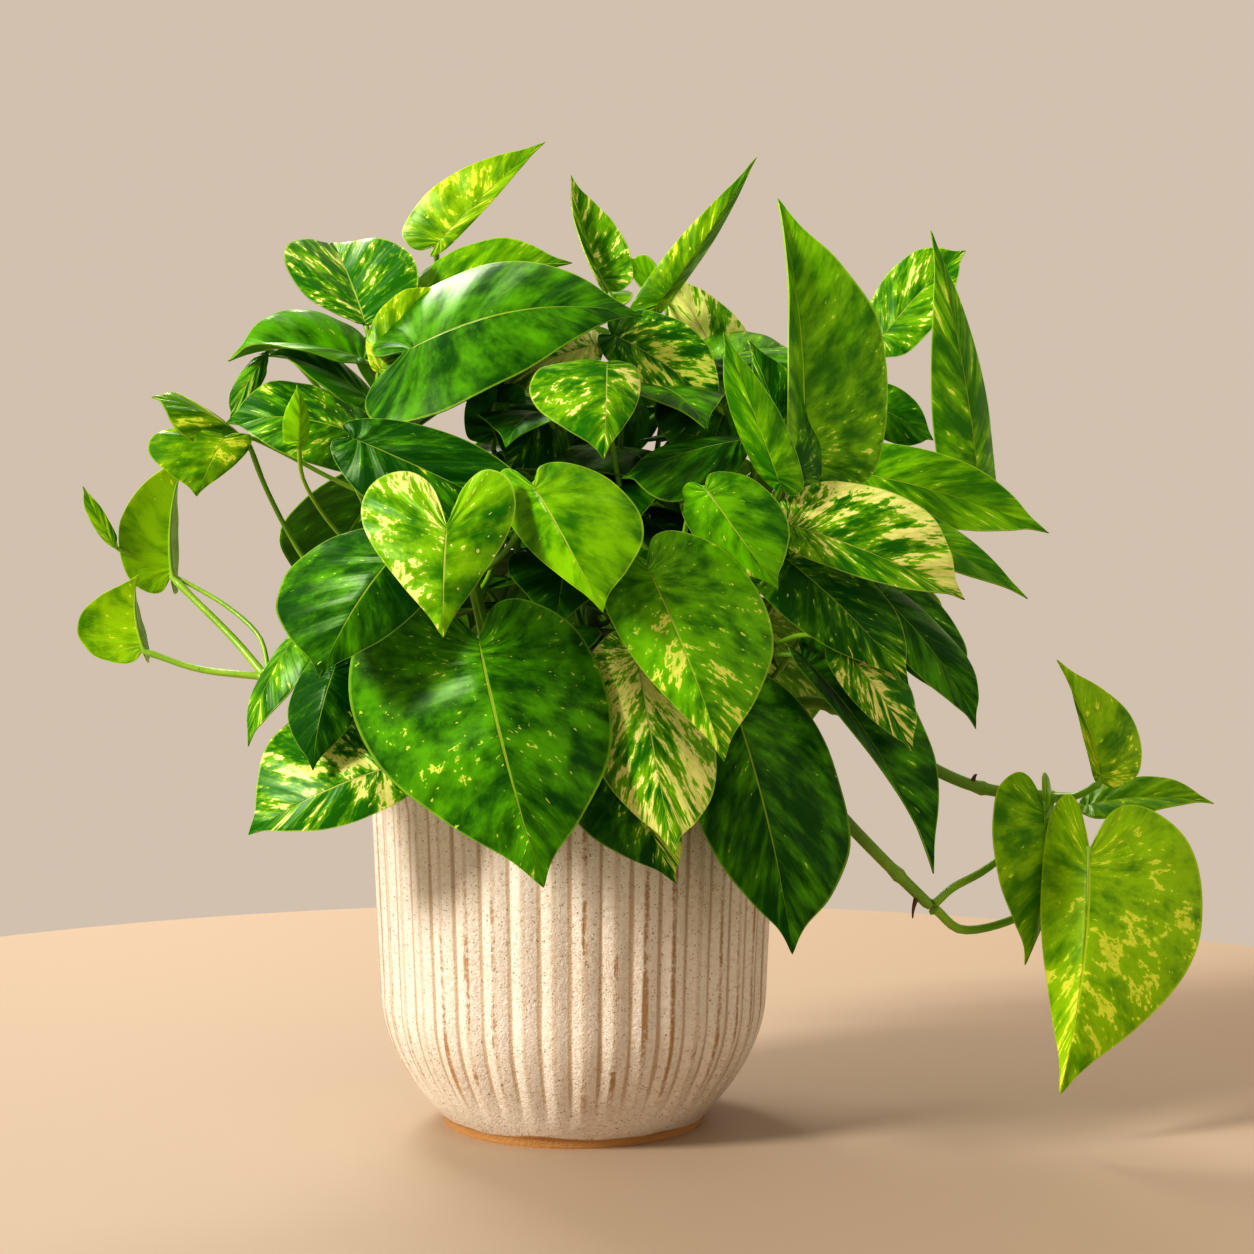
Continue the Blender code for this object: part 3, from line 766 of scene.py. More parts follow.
for seed, (crumb_name, (count, small, large, flat, colour, rough)) in enumerate(CRUMBS.items()):
    crumb_corners, crumb_faces = scatter(count, small, large, flat, seed)
    finish = make_soil_finish(crumb_name, colour, rough)
    new_piece(crumb_name, crumb_corners, crumb_faces, [finish], "soil")
print("on the soil:", ", ".join(CRUMBS))

# %% [markdown]
# ## Stems
#
# Pothos is a vine. Its stems are smooth and green, a little brown near the soil, with a ring
# wherever a leaf grows or grew. From the rings, short brown aerial roots poke out. The frame gives
# six sides to each stem; here the same route is drawn with many more, and the rings are swellings
# in its radius.

# %% Stem routes
STEM_RADIUS = 3.2 * MM
STEM_TAPER = 0.25
STEM_FOOT = 6 * MM
STEM_SINK = 3 * MM            # the stem starts this far below the soil's surface
STEM_STATIONS = 9             # as many as the frame's own stems have
NODE_SWELL = 0.28             # how much a ring stands out
NODE_SPACING = 34 * MM
NODE_WIDTH = 1.7 * MM
STEM_STEPS = 110
STEM_SIDES = 14
STEMS = {
    "stem_front_left": [(-22, -30, 119), (-26, -42, 150), (-30, -54, 185), (-36, -66, 218)],
    "stem_front_right": [(20, -32, 119), (26, -44, 150), (34, -54, 185), (42, -62, 222)],
    "stem_left": [(-40, 2, 119), (-46, -6, 165), (-52, -14, 215), (-58, -18, 262)],
    "stem_right": [(42, 6, 119), (52, 0, 160), (62, -8, 200), (72, -16, 238)],
    "stem_back": [(4, 30, 119), (8, 34, 170), (6, 30, 225), (2, 22, 280)],
    "stem_back_right": [(30, 42, 119), (44, 56, 160), (56, 66, 205)],
    "runner_left": [(-54, -18, 119), (-68, -20, 150), (-90, -20, 172), (-119, -20, 178)],
    "runner_right_low": [(58, 18, 119), (76, 2, 146), (92, -10, 142), (106, -16, 122), (140, -20, 88)],
    "runner_right_high": [(50, 34, 119), (66, 34, 152), (96, 26, 164), (124, 16, 152), (152, 10, 134),
                          (190, 5, 128)],
}


def place(point):
    """A place in metres from one in millimetres."""
    return Vector(point) * MM


def stem_route(points):
    foot = place(points[0])
    foot.z = SOIL_TOP
    root = foot + Vector((0, 0, STEM_FOOT))
    return [foot] + smooth_path([root] + [place(point) for point in points[1:]], STEM_STATIONS - 1)


stem_routes = {name: stem_route(points) for name, points in STEMS.items()}
print("stems:", ", ".join(stem_routes))

# %% [markdown]
# ## The finish of stems and stalks
#
# Young growth is a fresh yellow-green and old growth darker, with faint long streaks. The plant's
# stems stay plain otherwise, so the streaks come from fine noise.
# Light goes a little way into them, which keeps their shaded side from looking like paint.

# %% Green rods and brown roots
FRECKLE_BROWN = (0.12, 0.09, 0.03, 1)


def make_stem_finish(name, young, old, roughness=0.38):
    material, tree, shader = new_material(
        name, Subsurface_Weight=0.12, Subsurface_Scale=0.002, Coat_Weight=0.15, Coat_Roughness=0.25
    )
    places = object_places(tree)
    grain = places.clouds(420.0, 3.0, 0.6)
    base = blend(tree, places.clouds(26.0).rise(0.35, 0.65), young, old)
    streaked = blend(tree, grain.rise(0.4, 0.75, 0.0, 0.35), base, old)
    freckles = specks(tree, places, 330.0, 0.22, 0.35) * 0.45
    fill(shader.inputs["Base Color"], blend(tree, freckles, streaked, FRECKLE_BROWN))
    fill(shader.inputs["Roughness"], grain.rise(0.3, 0.8, roughness - 0.06, roughness + 0.12))
    add_relief(shader, grain, 0.15 * MM)
    return material


STEM_GREEN = make_stem_finish("green_stem", (0.30, 0.48, 0.040, 1), (0.15, 0.31, 0.015, 1))
STALK_GREEN = make_stem_finish("fresh_stalk", (0.36, 0.58, 0.05, 1), (0.20, 0.42, 0.02, 1))
ROOT_BROWN = make_stem_finish("aerial_root", (0.20, 0.11, 0.045, 1), (0.10, 0.05, 0.02, 1), 0.7)


def stem_radius(along, share):
    """The radius at a place along a stem: a slow taper with a ring at every node."""
    taper = STEM_RADIUS * (1 - STEM_TAPER * share)
    from_node = abs((along / NODE_SPACING) % 1 - 0.5) * NODE_SPACING
    return taper * (0.94 + NODE_SWELL * math.exp(-((from_node / NODE_WIDTH) ** 2)))


def make_stem(name, route):
    points = [route[0] - Vector((0, 0, STEM_SINK))] + smooth_path(route, STEM_STEPS)
    total = sum((b - a).length for a, b in zip(points, points[1:]))
    along, radii = 0.0, []
    for index, point in enumerate(points):
        along += (point - points[max(index - 1, 0)]).length
        radii.append(stem_radius(along, along / total))
    radii[-1] *= 0.7
    corners, faces = rod(points, radii, STEM_SIDES)
    new_piece(name + "_smooth", corners, faces, [STEM_GREEN], "green_stem", [name])
    return total


stem_lengths = {name: make_stem(name, route) for name, route in stem_routes.items()}
print("stem lengths in mm:", {name: round(length / MM) for name, length in stem_lengths.items()})

# %% [markdown]
# ## Aerial roots
#
# A few brown root nubs stand on the underside of the nodes of the two runners, where the vine
# would hold on to a tree. They are short curved rods that thin out to a point.

# %% Aerial roots
ROOT_RADIUS = 1.25 * MM
ROOT_STEPS = 12
# name: runner, place on it from 0 to 1, direction, length in millimetres
ROOTS = {
    "root_low_first": ("runner_right_low", 0.62, (-0.2, -0.6, -1.0), 9),
    "root_low_second": ("runner_right_low", 0.80, (-0.6, -0.4, -0.6), 7),
    "root_low_end": ("runner_right_low", 0.97, (-0.5, -0.5, -0.9), 8),
    "root_high": ("runner_right_high", 0.86, (0.1, -0.4, 1.0), 7),
    "root_left_long": ("runner_left", 0.74, (-0.3, -0.5, -1.0), 21),
    "root_left_short": ("runner_left", 0.80, (0.2, -0.7, -0.9), 12),
    "root_left_node": ("runner_left", 0.96, (0.1, -0.3, -1.0), 7),
}


def make_root(name, stem, share, direction, length):
    start, _ = on_path(stem_routes[stem], share)
    aim = Vector(direction).normalized() * length * MM
    sag = Vector((0.15, 0.1, -0.35)) * length * MM
    path = bezier((start, start + aim * 0.4, start + aim * 0.8 + sag * 0.3, start + aim + sag), ROOT_STEPS)
    radii = [ROOT_RADIUS * (1 - 0.8 * index / (ROOT_STEPS - 1)) for index in range(ROOT_STEPS)]
    corners, faces = rod(path, radii, SLIM_SIDES)
    new_piece(name, corners, faces, [ROOT_BROWN], "green_stem")


for root_name, root_plan in ROOTS.items():
    make_root(root_name, *root_plan)
print("aerial roots:", len(ROOTS))

# %% [markdown]
# ## The pattern of a pothos leaf
#
# A leaf is drawn in its own flat map. Across it runs from one margin over the midrib to the other,
# and up it follows the side veins, so a streak that is long across the map lies along a vein on
# the leaf. A second map holds centimetres, which keeps flecks the same size on small and large
# leaves. Everything a leaf shows comes from these two: the pale midrib, the side veins, the thin
# bright margin, clouds of lighter green, cream streaks, and small yellow flecks.

# %% Leaf pattern group
VEIN_COUNT = 8                # side veins on each half of a blade
FINE_VEINS = 6.0              # fine veins between two side veins
UNDERSIDE_GREEN = (0.26, 0.46, 0.08, 1)


def make_leaf_group():
    tree, given, result = new_group(
        "leaf_pattern",
        [
            ("Deep", COLOUR, (0.02, 0.15, 0.01, 1)),
            ("Light", COLOUR, (0.10, 0.40, 0.02, 1)),
            ("Cream", COLOUR, (0.75, 0.75, 0.25, 1)),
            ("Cream Amount", FLOAT, 0.2),
            ("Cream Side", FLOAT, 0.0),
            ("Cream End", FLOAT, 0.0),
            ("Flecks", FLOAT, 0.3),
            ("Lightness", FLOAT, 0.5),
            ("Length", FLOAT, 8.0),
        ],
        [("Color", COLOUR), ("Roughness", FLOAT), ("Height", FLOAT)],
    )
    u, row, _ = map_places(tree, "blade").parts()
    across_cm, along_cm, _ = map_places(tree, "measure").parts()
    under, own_number, _ = map_places(tree, "face").parts()
    signed = u * 2.0 - 1.0
    across = signed.math("ABSOLUTE")
    shift = signed.math("SIGN") * 3.7 + own_number * 31.0

    # Veins alternate from one half to the other. The midrib narrows from the stalk to the tip.
    vein_number = row * float(VEIN_COUNT) + signed.math("GREATER_THAN", 0.0) * 0.5
    from_vein = vein_number.math("PINGPONG", 0.5)
    inner = across.rise(0.90, 1.0, 1.0, 0.0)
    vein = from_vein.rise(0.0, 0.07, 1.0, 0.0) * inner
    vein_glow = from_vein.rise(0.0, 0.42, 1.0, 0.0) * inner
    fine_vein = (vein_number * FINE_VEINS).math("PINGPONG", 0.5)
    rib_width = row.rise(0.3, 1.0, 0.012, 0.034)
    midrib = across.rise(rib_width * 0.45, rib_width, 1.0, 0.0)
    margin = across.rise(0.970, 0.988)

    # Four noises: two in round clouds, and two drawn out along the veins.
    blade_cm = vector_of(across_cm + shift, along_cm)
    mottle = blade_cm.clouds(0.60, 4.0, 0.60)
    patch = blade_cm.clouds(0.42)
    from_stalk = row * given["Length"]
    streak = vector_of(across_cm * 0.85 + shift, from_stalk * 2.4).clouds(1.0, 4.0, 0.62)
    dash = vector_of(across_cm * 2.6 + shift, from_stalk * 7.0).clouds(1.0, 2.0, 0.6)

    # Deep and lighter green. Lightness is partly the leaf's own tone and partly painted light and shade.
    light_share = mottle * 0.8 + streak * 1.3 + patch + vein_glow * 0.04 + (given["Lightness"] - 1.70)
    green = blend(tree, light_share.rise(0.05, 0.75), given["Deep"], given["Light"])

    # Cream streaks, more of them on the side and the end that the leaf asks for, with a pale halo.
    bias = signed * given["Cream Side"] + (row * 2.0 - 1.0) * given["Cream End"]
    cream_noise = patch * 0.80 + streak * 1.15 + dash * 0.75 + bias * 0.22
    cream_level = cream_noise + (given["Cream Amount"] * 0.66 - 1.70)
    some_cream = given["Cream Amount"].rise(0.0, 0.02)
    cream_mask = cream_level.rise(-0.005, 0.035) * some_cream
    halo = cream_level.rise(-0.20, 0.02, 0.0, 0.64) * some_cream
    yellowish = blend(tree, halo, green, given["Light"])
    cream_tone = blend(tree, dash.rise(0.40, 0.62, 0.35, 0.0), given["Cream"], given["Light"])
    creamed = blend(tree, cream_mask, yellowish, cream_tone)

    # Flecks: cream ones on green, green ones on cream.
    fleck = (dash + (patch - 0.5) * 0.25 + (given["Flecks"] * 0.14 - 0.775)).rise(0.0, 0.03)
    green_fleck = fleck * cream_mask
    dotted = blend(tree, (fleck - green_fleck) * 0.80, creamed, given["Cream"])
    dotted = blend(tree, green_fleck * 0.85, dotted, given["Light"])

    # Veins, midrib and margin over everything, and a duller underside.
    veined = blend(tree, vein * 0.14, dotted, given["Light"])
    pale_rib = blend(tree, 0.45, given["Light"], given["Cream"])
    ribbed = blend(tree, midrib * 0.80, veined, pale_rib)
    edged = blend(tree, margin * 0.50, ribbed, pale_rib)
    matte = blend(tree, 0.34, edged, UNDERSIDE_GREEN)
    fill(result["Color"], blend(tree, under.rise(0.3, 0.7), edged, matte))
    fill(result["Roughness"], mottle * 0.16 + 0.29 + under * 0.22)

    # The blade swells between its veins and sinks at the midrib, the other way round below.
    height = from_vein.rise(0.0, 0.5) * inner + fine_vein * 0.22 - midrib * 1.3 + streak * 0.5
    fill(result["Height"], height * (under * -2.0 + 1.0))
    return tree


LEAF_PATTERN = make_leaf_group()
print("group:", LEAF_PATTERN.name, "with", VEIN_COUNT, "veins to each half")

# %% [markdown]
# ## Leaf looks
#
# One plant carries very different leaves. Old ones are deep green with a few flecks, young ones
# bright yellow-green, and some are marbled with cream because part of their tissue makes no green
# at all. Five looks cover them, and a leaf may shift its own: how much cream it has, on which half,
# towards the tip or the stalk, how many flecks, and how light it is. The sunlit look and each
# leaf's lightness are partly the leaf's own tone and partly painted light and shade: lighter,
# yellower green on leaves that catch the light, deeper green on leaves in shade. Each leaf has a
# material of its own, so no two are the same.

# %% Leaf looks
LOOKS = {
    "dark": {
        "slot": "leaf_dark", "deep": (0.004, 0.080, 0.0004, 1), "light": (0.115, 0.37, 0.001, 1),
        "cream": (0.62, 0.70, 0.12, 1), "amount": 0.05, "flecks": 0.45, "lightness": 0.42,
    },
    "flecked": {
        "slot": "leaf_flecked", "deep": (0.010, 0.120, 0.0006, 1), "light": (0.18, 0.46, 0.001, 1),
        "cream": (0.70, 0.74, 0.16, 1), "amount": 0.22, "flecks": 0.75, "lightness": 0.50,
    },
    "bright": {
        "slot": "leaf_bright", "deep": (0.040, 0.20, 0.0008, 1), "light": (0.27, 0.56, 0.001, 1),
        "cream": (0.74, 0.80, 0.16, 1), "amount": 0.14, "flecks": 0.35, "lightness": 0.58,
    },
    # Painted sunlight: a lighter, yellower copy of the flecked look, for leaves that catch the light.
    "sunlit": {
        "slot": "leaf_flecked", "deep": (0.065, 0.23, 0.001, 1), "light": (0.33, 0.55, 0.002, 1),
        "cream": (0.72, 0.78, 0.09, 1), "amount": 0.30, "flecks": 0.80, "lightness": 0.50,
    },
    "marbled": {
        "slot": "leaf_marbled", "deep": (0.020, 0.17, 0.0008, 1), "light": (0.26, 0.52, 0.003, 1),
        "cream": (0.80, 0.77, 0.30, 1), "amount": 0.55, "flecks": 0.60, "lightness": 0.52,
    },
}


def make_leaf_finish(plan):
    material, tree, shader = new_material(
        plan["name"] + "_finish", Subsurface_Weight=0.30, Subsurface_Radius=(0.8, 1.2, 0.2),
        Subsurface_Scale=0.0012, Coat_Weight=0.04, Coat_Roughness=0.16, Specular_IOR_Level=0.26,
        Specular_Tint=(0.72, 1.0, 0.50, 1),
    )
    pattern = place_group(
        tree, LEAF_PATTERN, Deep=plan["deep"], Light=plan["light"], Cream=plan["cream"],
        Cream_Amount=plan["amount"], Cream_Side=plan["side"], Cream_End=plan["end"],
        Flecks=plan["flecks"], Lightness=plan["lightness"], Length=plan["along"].length / CM,
    )
    fill(shader.inputs["Base Color"], pattern["Color"])
    fill(shader.inputs["Roughness"], pattern["Roughness"])
    add_relief(shader, pattern["Height"], 0.30 * MM, 0.9)
    return material


print("looks:", ", ".join(LOOKS))

# %% [markdown]
# ## Leaf plans
#
# Each leaf is planned by five places in millimetres: where its blade starts, its tip, and its
# widest places on the left and on the right; then how far the midrib bows, how far the two lobes
# reach back past the stalk, and the stem it grows on. The frame uses the same plan, so its simple
# blade and this fine one fill the same space. The last part shifts the leaf's look.

# %% Leaf plans
LEAVES = []
# cream on one half (side) or towards one end (end), thickness of the stalk, whether the frame has
# the leaf, where on its stem it grows (at), and whether its waxy face is the lower one (turned)
USUAL = {"side": 0.0, "end": 0.0, "stalk": 1.0, "framed": True, "at": 0.75, "turned": False}


def leaf(name, look, base, tip, left, right, arch, lobe, stem, **own):
    """Plan one leaf. What it doesn't set on its own comes from its look, or is as usual."""
    plan = {**USUAL, **LOOKS[look], **own}
    plan.update(name="leaf_" + name, arch=arch * MM, lobe=lobe, stem=stem)
    plan.update(base=place(base), tip=place(tip), left=place(left), right=place(right))
    LEAVES.append(plan)


def extra(*plan, **own):
    """Plan one leaf that the frame doesn't have."""
    leaf(*plan, framed=False, **own)


print("usual leaf:", USUAL)

# %% [markdown]
# ## Front leaves
#
# These hang over the rim and face the viewer: the largest leaf in the middle, with smaller ones
# laid over it like tiles.

# %% Front leaves
leaf("front_large", "dark", (-31, -122, 200), (-8, -130, 113), (-78, -104, 175), (14, -112, 181), 9,
     0.17, "stem_front_left", amount=0.12, flecks=0.75, lightness=0.54)
leaf("front_heart", "marbled", (-40, -152, 241), (-41, -160, 203), (-70, -142, 247), (-17, -144, 248),
     4, 0.34, "stem_front_left", amount=0.27, side=-0.8, flecks=0.85, lightness=0.62)
leaf("front_smile", "bright", (-11, -138, 254), (13, -150, 211), (-20, -130, 242), (24, -128, 247), 5,
     0.20, "stem_front_left", amount=0.04, flecks=0.30, lightness=0.58)
leaf("left_dark", "dark", (-57, -132, 233), (-86, -130, 187), (-98, -112, 224), (-49, -132, 214), 6,
     0.16, "stem_front_left", amount=0.03, flecks=0.42, lightness=0.38)
leaf("front_shelf", "dark", (-78, -100, 271), (-8, -108, 238), (-37, -106, 270), (-56, -114, 240), 5,
     0.14, "stem_left", lightness=0.30)
leaf("front_right", "flecked", (28, -128, 226), (55, -134, 158), (14, -122, 210), (69, -112, 214), 7,
     0.18, "stem_front_right", amount=0.24, end=0.9, flecks=0.85, lightness=0.66)
leaf("front_marble", "marbled", (24, -110, 199), (38, -118, 123), (6, -101, 169), (52, -106, 164), 5,
     0.10, "stem_front_right", amount=0.52, flecks=0.95, lightness=0.50)
leaf("front_low", "dark", (14, -94, 160), (39, -102, 110), (-2, -92, 139), (36, -90, 139), 3, 0.10,
     "stem_front_right", amount=0.26, side=1.0, end=0.6, lightness=0.35)
leaf("front_tall", "dark", (58, -88, 180), (82, -84, 81), (43, -88, 143), (100, -66, 145), 7, 0.12,
     "stem_front_right", amount=0.02, flecks=0.40, lightness=0.42)
leaf("mid_right", "flecked", (49, -104, 253), (75, -110, 217), (45, -96, 236), (75, -98, 248), 6, 0.14,
     "stem_front_right", amount=0.12, lightness=0.62)
leaf("curled", "marbled", (14, -86, 298), (13, -112, 263), (-14, -92, 289), (26, -88, 290), 3, 0.04,
     "stem_front_right", amount=0.36, lightness=0.45)

print("leaves so far:", len(LEAVES))

# %% [markdown]
# ## Leaves on the right
#
# Upright leaves first, then the ones that fan out and hang.

# %% Right leaves
leaf("upright_light", "bright", (77, -90, 253), (56, -86, 309), (61, -87, 274), (82, -88, 267), 3, 0.08,
     "stem_right", lightness=0.40)
leaf("tall_right", "bright", (86, -62, 256), (78, -40, 361), (80, -77, 275), (121, -40, 285), 6, 0.10,
     "stem_right", amount=0.18, end=-0.9, flecks=0.40, lightness=0.50)
leaf("back_right", "marbled", (122, 26, 309), (159, 40, 347), (127, 38, 337), (143, 22, 314), 4, 0.10,
     "stem_back", amount=0.36, lightness=0.50)
leaf("needle_right", "bright", (160, -2, 246), (140, -2, 352), (142, -10, 264), (166, 8, 270), 4, 0.06,
     "stem_right", lightness=0.40)
leaf("right_high", "bright", (102, -26, 259), (185, -18, 234), (133, -20, 267), (128, -34, 239), 6,
     0.10, "stem_right", lightness=0.50)
leaf("right_low", "bright", (106, -60, 244), (173, -46, 210), (126, -50, 246), (118, -68, 230), 4, 0.10,
     "stem_right", lightness=0.42)
leaf("right_variegated", "marbled", (77, -86, 240), (146, -72, 211), (115, -75, 252), (100, -94, 222),
     5, 0.10, "stem_right", amount=0.42, side=-0.6, lightness=0.45)
leaf("right_blotched", "flecked", (76, -82, 229), (126, -66, 179), (108, -66, 221), (78, -84, 206), 6,
     0.14, "stem_right", amount=0.25, lightness=0.30)
leaf("right_hooked", "dark", (86, -60, 190), (138, -46, 105), (122, -44, 180), (102, -70, 165), 8, 0.08,
     "stem_right", amount=0.12)
leaf("right_far", "dark", (116, -34, 213), (158, -12, 157), (143, -20, 198), (123, -36, 190), 7, 0.08,
     "stem_right")

print("leaves so far:", len(LEAVES))

# %% [markdown]
# ## Leaves on the left
#
# They arch out over the rim, and the lowest one points down past it.

# %% Left leaves
leaf("left_horned", "sunlit", (-121, -44, 268), (-157, -52, 286), (-139, -36, 281), (-140, -58, 268), 4,
     0.06, "stem_left", lightness=0.40)
leaf("left_arched", "flecked", (-73, -72, 270), (-128, -62, 276), (-96, -52, 290), (-92, -76, 260), 8,
     0.12, "stem_left", lightness=0.35)
leaf("left_spread", "dark", (-77, -40, 300), (-131, -32, 300), (-98, -22, 319), (-100, -56, 303), 6,
     0.10, "stem_left", lightness=0.62)
leaf("left_narrow", "flecked", (-100, -62, 200), (-120, -66, 156), (-113, -56, 187), (-97, -72, 186), 4,
     0.08, "stem_left", amount=0.30)
leaf("left_variegated", "marbled", (-62, -90, 152), (-118, -82, 125), (-96, -66, 169), (-73, -94, 133),
     5, 0.10, "stem_left", amount=0.38, lightness=0.28)

print("leaves so far:", len(LEAVES))

# %% [markdown]
# ## Leaves at the top
#
# Young leaves stand up on long stalks. The broad dark one arches over them from the left.

# %% Top leaves
leaf("top_left", "marbled", (-77, -46, 313), (-94, 0, 347), (-109, -28, 335), (-59, -30, 336), 3, 0.06,
     "stem_left", amount=0.34, lightness=0.30)
leaf("top_arch", "bright", (-68, -34, 306), (0, -6, 339), (-51, -14, 340), (-46, -30, 323), 6, 0.10,
     "stem_left", amount=0.25, lightness=0.55)
leaf("top_small", "sunlit", (-54, 0, 346), (-11, 6, 387), (-60, 6, 364), (-39, -2, 355), 3, 0.10,
     "stem_back", amount=0.30, lightness=0.55)
leaf("arch_dark", "dark", (-61, -68, 302), (27, -56, 316), (-44, -40, 332), (-46, -92, 280), 12, 0.15,
     "stem_left", amount=0.0, flecks=0.10, lightness=0.48)
leaf("top_round", "marbled", (12, 10, 331), (-1, 14, 375), (4, 4, 345), (22, 12, 345), 3, 0.10,
     "stem_back", amount=0.40, lightness=0.50, turned=True)
leaf("top_blade", "sunlit", (31, -6, 320), (72, 0, 381), (30, -4, 334), (44, 2, 332), 3, 0.08,
     "stem_back", amount=0.28, lightness=0.42)
leaf("top_cream", "marbled", (64, 0, 286), (37, 16, 337), (42, 6, 303), (72, 16, 307), 3, 0.08,
     "stem_back", amount=0.62, flecks=0.9, lightness=0.55)

print("leaves so far:", len(LEAVES))

# %% [markdown]
# ## Leaves at the back
#
# A plant fills its pot on all sides, so the back gets the same kind of leaves as the front.

# %% Back leaves
leaf("back_low_left", "flecked", (-62, 92, 196), (-84, 112, 118), (-98, 82, 172), (-34, 98, 168), 8,
     0.18, "stem_back")
leaf("back_low_mid", "dark", (2, 104, 204), (-6, 126, 122), (-36, 114, 180), (36, 108, 178), 8, 0.18,
     "stem_back_right", flecks=0.65)
leaf("back_low_right", "marbled", (66, 92, 200), (88, 112, 130), (40, 106, 174), (104, 80, 178), 8,
     0.16, "stem_back_right", amount=0.42)
leaf("back_mid_left", "dark", (-74, 62, 258), (-112, 84, 200), (-116, 52, 242), (-62, 92, 226), 7, 0.16,
     "stem_back", amount=0.14)
leaf("back_mid", "bright", (-14, 86, 272), (-20, 116, 212), (-50, 86, 254), (18, 92, 252), 7, 0.18,
     "stem_back", amount=0.20)
leaf("back_mid_right", "flecked", (54, 78, 262), (78, 108, 206), (26, 92, 246), (90, 70, 246), 7, 0.16,
     "stem_back_right")
leaf("back_top_left", "bright", (-48, 36, 312), (-84, 66, 284), (-84, 34, 312), (-50, 68, 300), 6, 0.14,
     "stem_back")
leaf("back_top_right", "dark", (44, 42, 306), (74, 76, 282), (38, 70, 300), (80, 42, 304), 6, 0.14,
     "stem_back", lightness=0.55)
leaf("back_far_right", "bright", (104, 44, 228), (152, 66, 180), (124, 70, 208), (136, 34, 216), 7,
     0.14, "stem_back_right", lightness=0.50)

print("leaves so far:", len(LEAVES))

# %% [markdown]
# ## Leaves on the runners
#
# The runners carry the brightest leaves. They hang in the open, and their sunlit look is partly
# their own yellow-green and partly painted sunlight. Two of them on the left show their undersides
# to the light, so their waxy face is the lower one.

# %% Runner leaves
leaf("trail_big", "sunlit", (199, -36, 113), (186, -52, 21), (182, -28, 100), (247, -18, 88), 9, 0.20,
     "runner_right_low", amount=0.34, end=0.5, stalk=1.5, lightness=0.75)
leaf("trail_left", "sunlit", (184, -16, 128), (177, -20, 65), (163, -24, 118), (191, -4, 115), 5, 0.18,
     "runner_right_low", lightness=0.50, flecks=0.6, stalk=1.4, amount=0.16)
leaf("trail_upright", "sunlit", (207, -14, 136), (188, -22, 185), (200, -18, 152), (224, -4, 151), 4,
     0.08, "runner_right_high", amount=0.38, end=-0.7, stalk=1.4, lightness=0.62)
leaf("trail_side", "sunlit", (203, 6, 124), (256, 8, 125), (222, 14, 134), (219, -6, 122), 4, 0.06,
     "runner_right_high", lightness=0.50, stalk=1.3, amount=0.16)
leaf("far_left_low", "sunlit", (-168, -14, 188), (-168, -22, 218), (-194, -10, 194), (-172, 14, 193), 4,
     0.16, "runner_left", amount=0.12, lightness=0.62, stalk=1.4, flecks=0.45, turned=True)
leaf("far_left_high", "sunlit", (-160, 6, 216), (-151, -2, 267), (-180, 2, 229), (-161, 30, 227), 5,
     0.14, "runner_left", amount=0.12, lightness=0.72, stalk=1.4, flecks=0.45, turned=True)

print("leaves so far:", len(LEAVES))

# %% [markdown]
# ## Leaves without a frame
#
# Small leaves between and behind the framed ones. They are too thin or too crowded to be solids
# of their own in the frame, and here they make the crown as dense as it should be.

# %% Small leaves
extra("upright_dark", "flecked", (82, -78, 251), (66, -62, 307), (70, -70, 274), (93, -56, 273), 3,
      0.08, "stem_right", at=0.9, lightness=0.30)
extra("right_cream_tip", "marbled", (98, -76, 196), (128, -62, 153), (120, -62, 188), (103, -76, 176),
      4, 0.08, "stem_right", at=0.6, end=0.8, amount=0.35, lightness=0.3)
extra("left_flap", "sunlit", (-129, -56, 271), (-139, -62, 249), (-157, -56, 270), (-120, -56, 267), 3,
      0.08, "stem_left", at=0.9, lightness=0.45)
extra("left_new", "bright", (-98, -84, 268), (-99, -82, 290), (-104, -84, 274), (-95, -80, 274), 2,
      0.04, "stem_left", at=0.7, lightness=0.8)
extra("left_under", "bright", (-73, -46, 282), (-116, -30, 302), (-92, -30, 304), (-92, -56, 290), 5,
      0.08, "stem_left", at=0.85, lightness=0.3)
extra("top_yellow", "sunlit", (-72, -54, 295), (-45, -38, 327), (-72, -46, 318), (-48, -58, 305), 3,
      0.06, "stem_left", at=0.95, amount=0.4, lightness=0.60)
extra("top_speckled", "flecked", (15, -42, 310), (58, -52, 279), (41, -36, 315), (25, -56, 292), 4,
      0.12, "stem_back", at=0.9, amount=0.35, end=0.6, lightness=0.35)
extra("left_glossy", "dark", (-85, -86, 188), (-93, -92, 150), (-102, -78, 177), (-75, -86, 176), 4,
      0.14, "stem_left", at=0.5, lightness=0.25)
extra("small_back_right", "flecked", (115, 25, 286), (145, 28, 270), (129, 30, 292), (125, 22, 270), 3,
      0.08, "stem_right", at=0.95)
extra("right_behind", "dark", (115, -14, 218), (149, 2, 167), (148, -2, 201), (120, -16, 192), 5, 0.10,
      "stem_right", at=0.8)
extra("mid_dark", "dark", (65, -72, 270), (19, -92, 256), (44, -76, 270), (44, -92, 248), 4, 0.10,
      "stem_right", at=0.95)
extra("cream_low", "marbled", (11, -44, 306), (-25, -50, 291), (-4, -34, 312), (-2, -54, 288), 3, 0.08,
      "stem_back", at=0.95, amount=0.62)
extra("dull_middle", "dark", (-29, -52, 271), (-27, -30, 301), (-40, -48, 279), (-17, -46, 281), 3,
      0.08, "stem_front_left", at=0.95, lightness=0.6)
extra("top_tiny", "bright", (36, 8, 325), (22, 10, 342), (32, 8, 340), (26, 8, 331), 2, 0.04,
      "stem_back", at=1.0, lightness=0.75, turned=True)
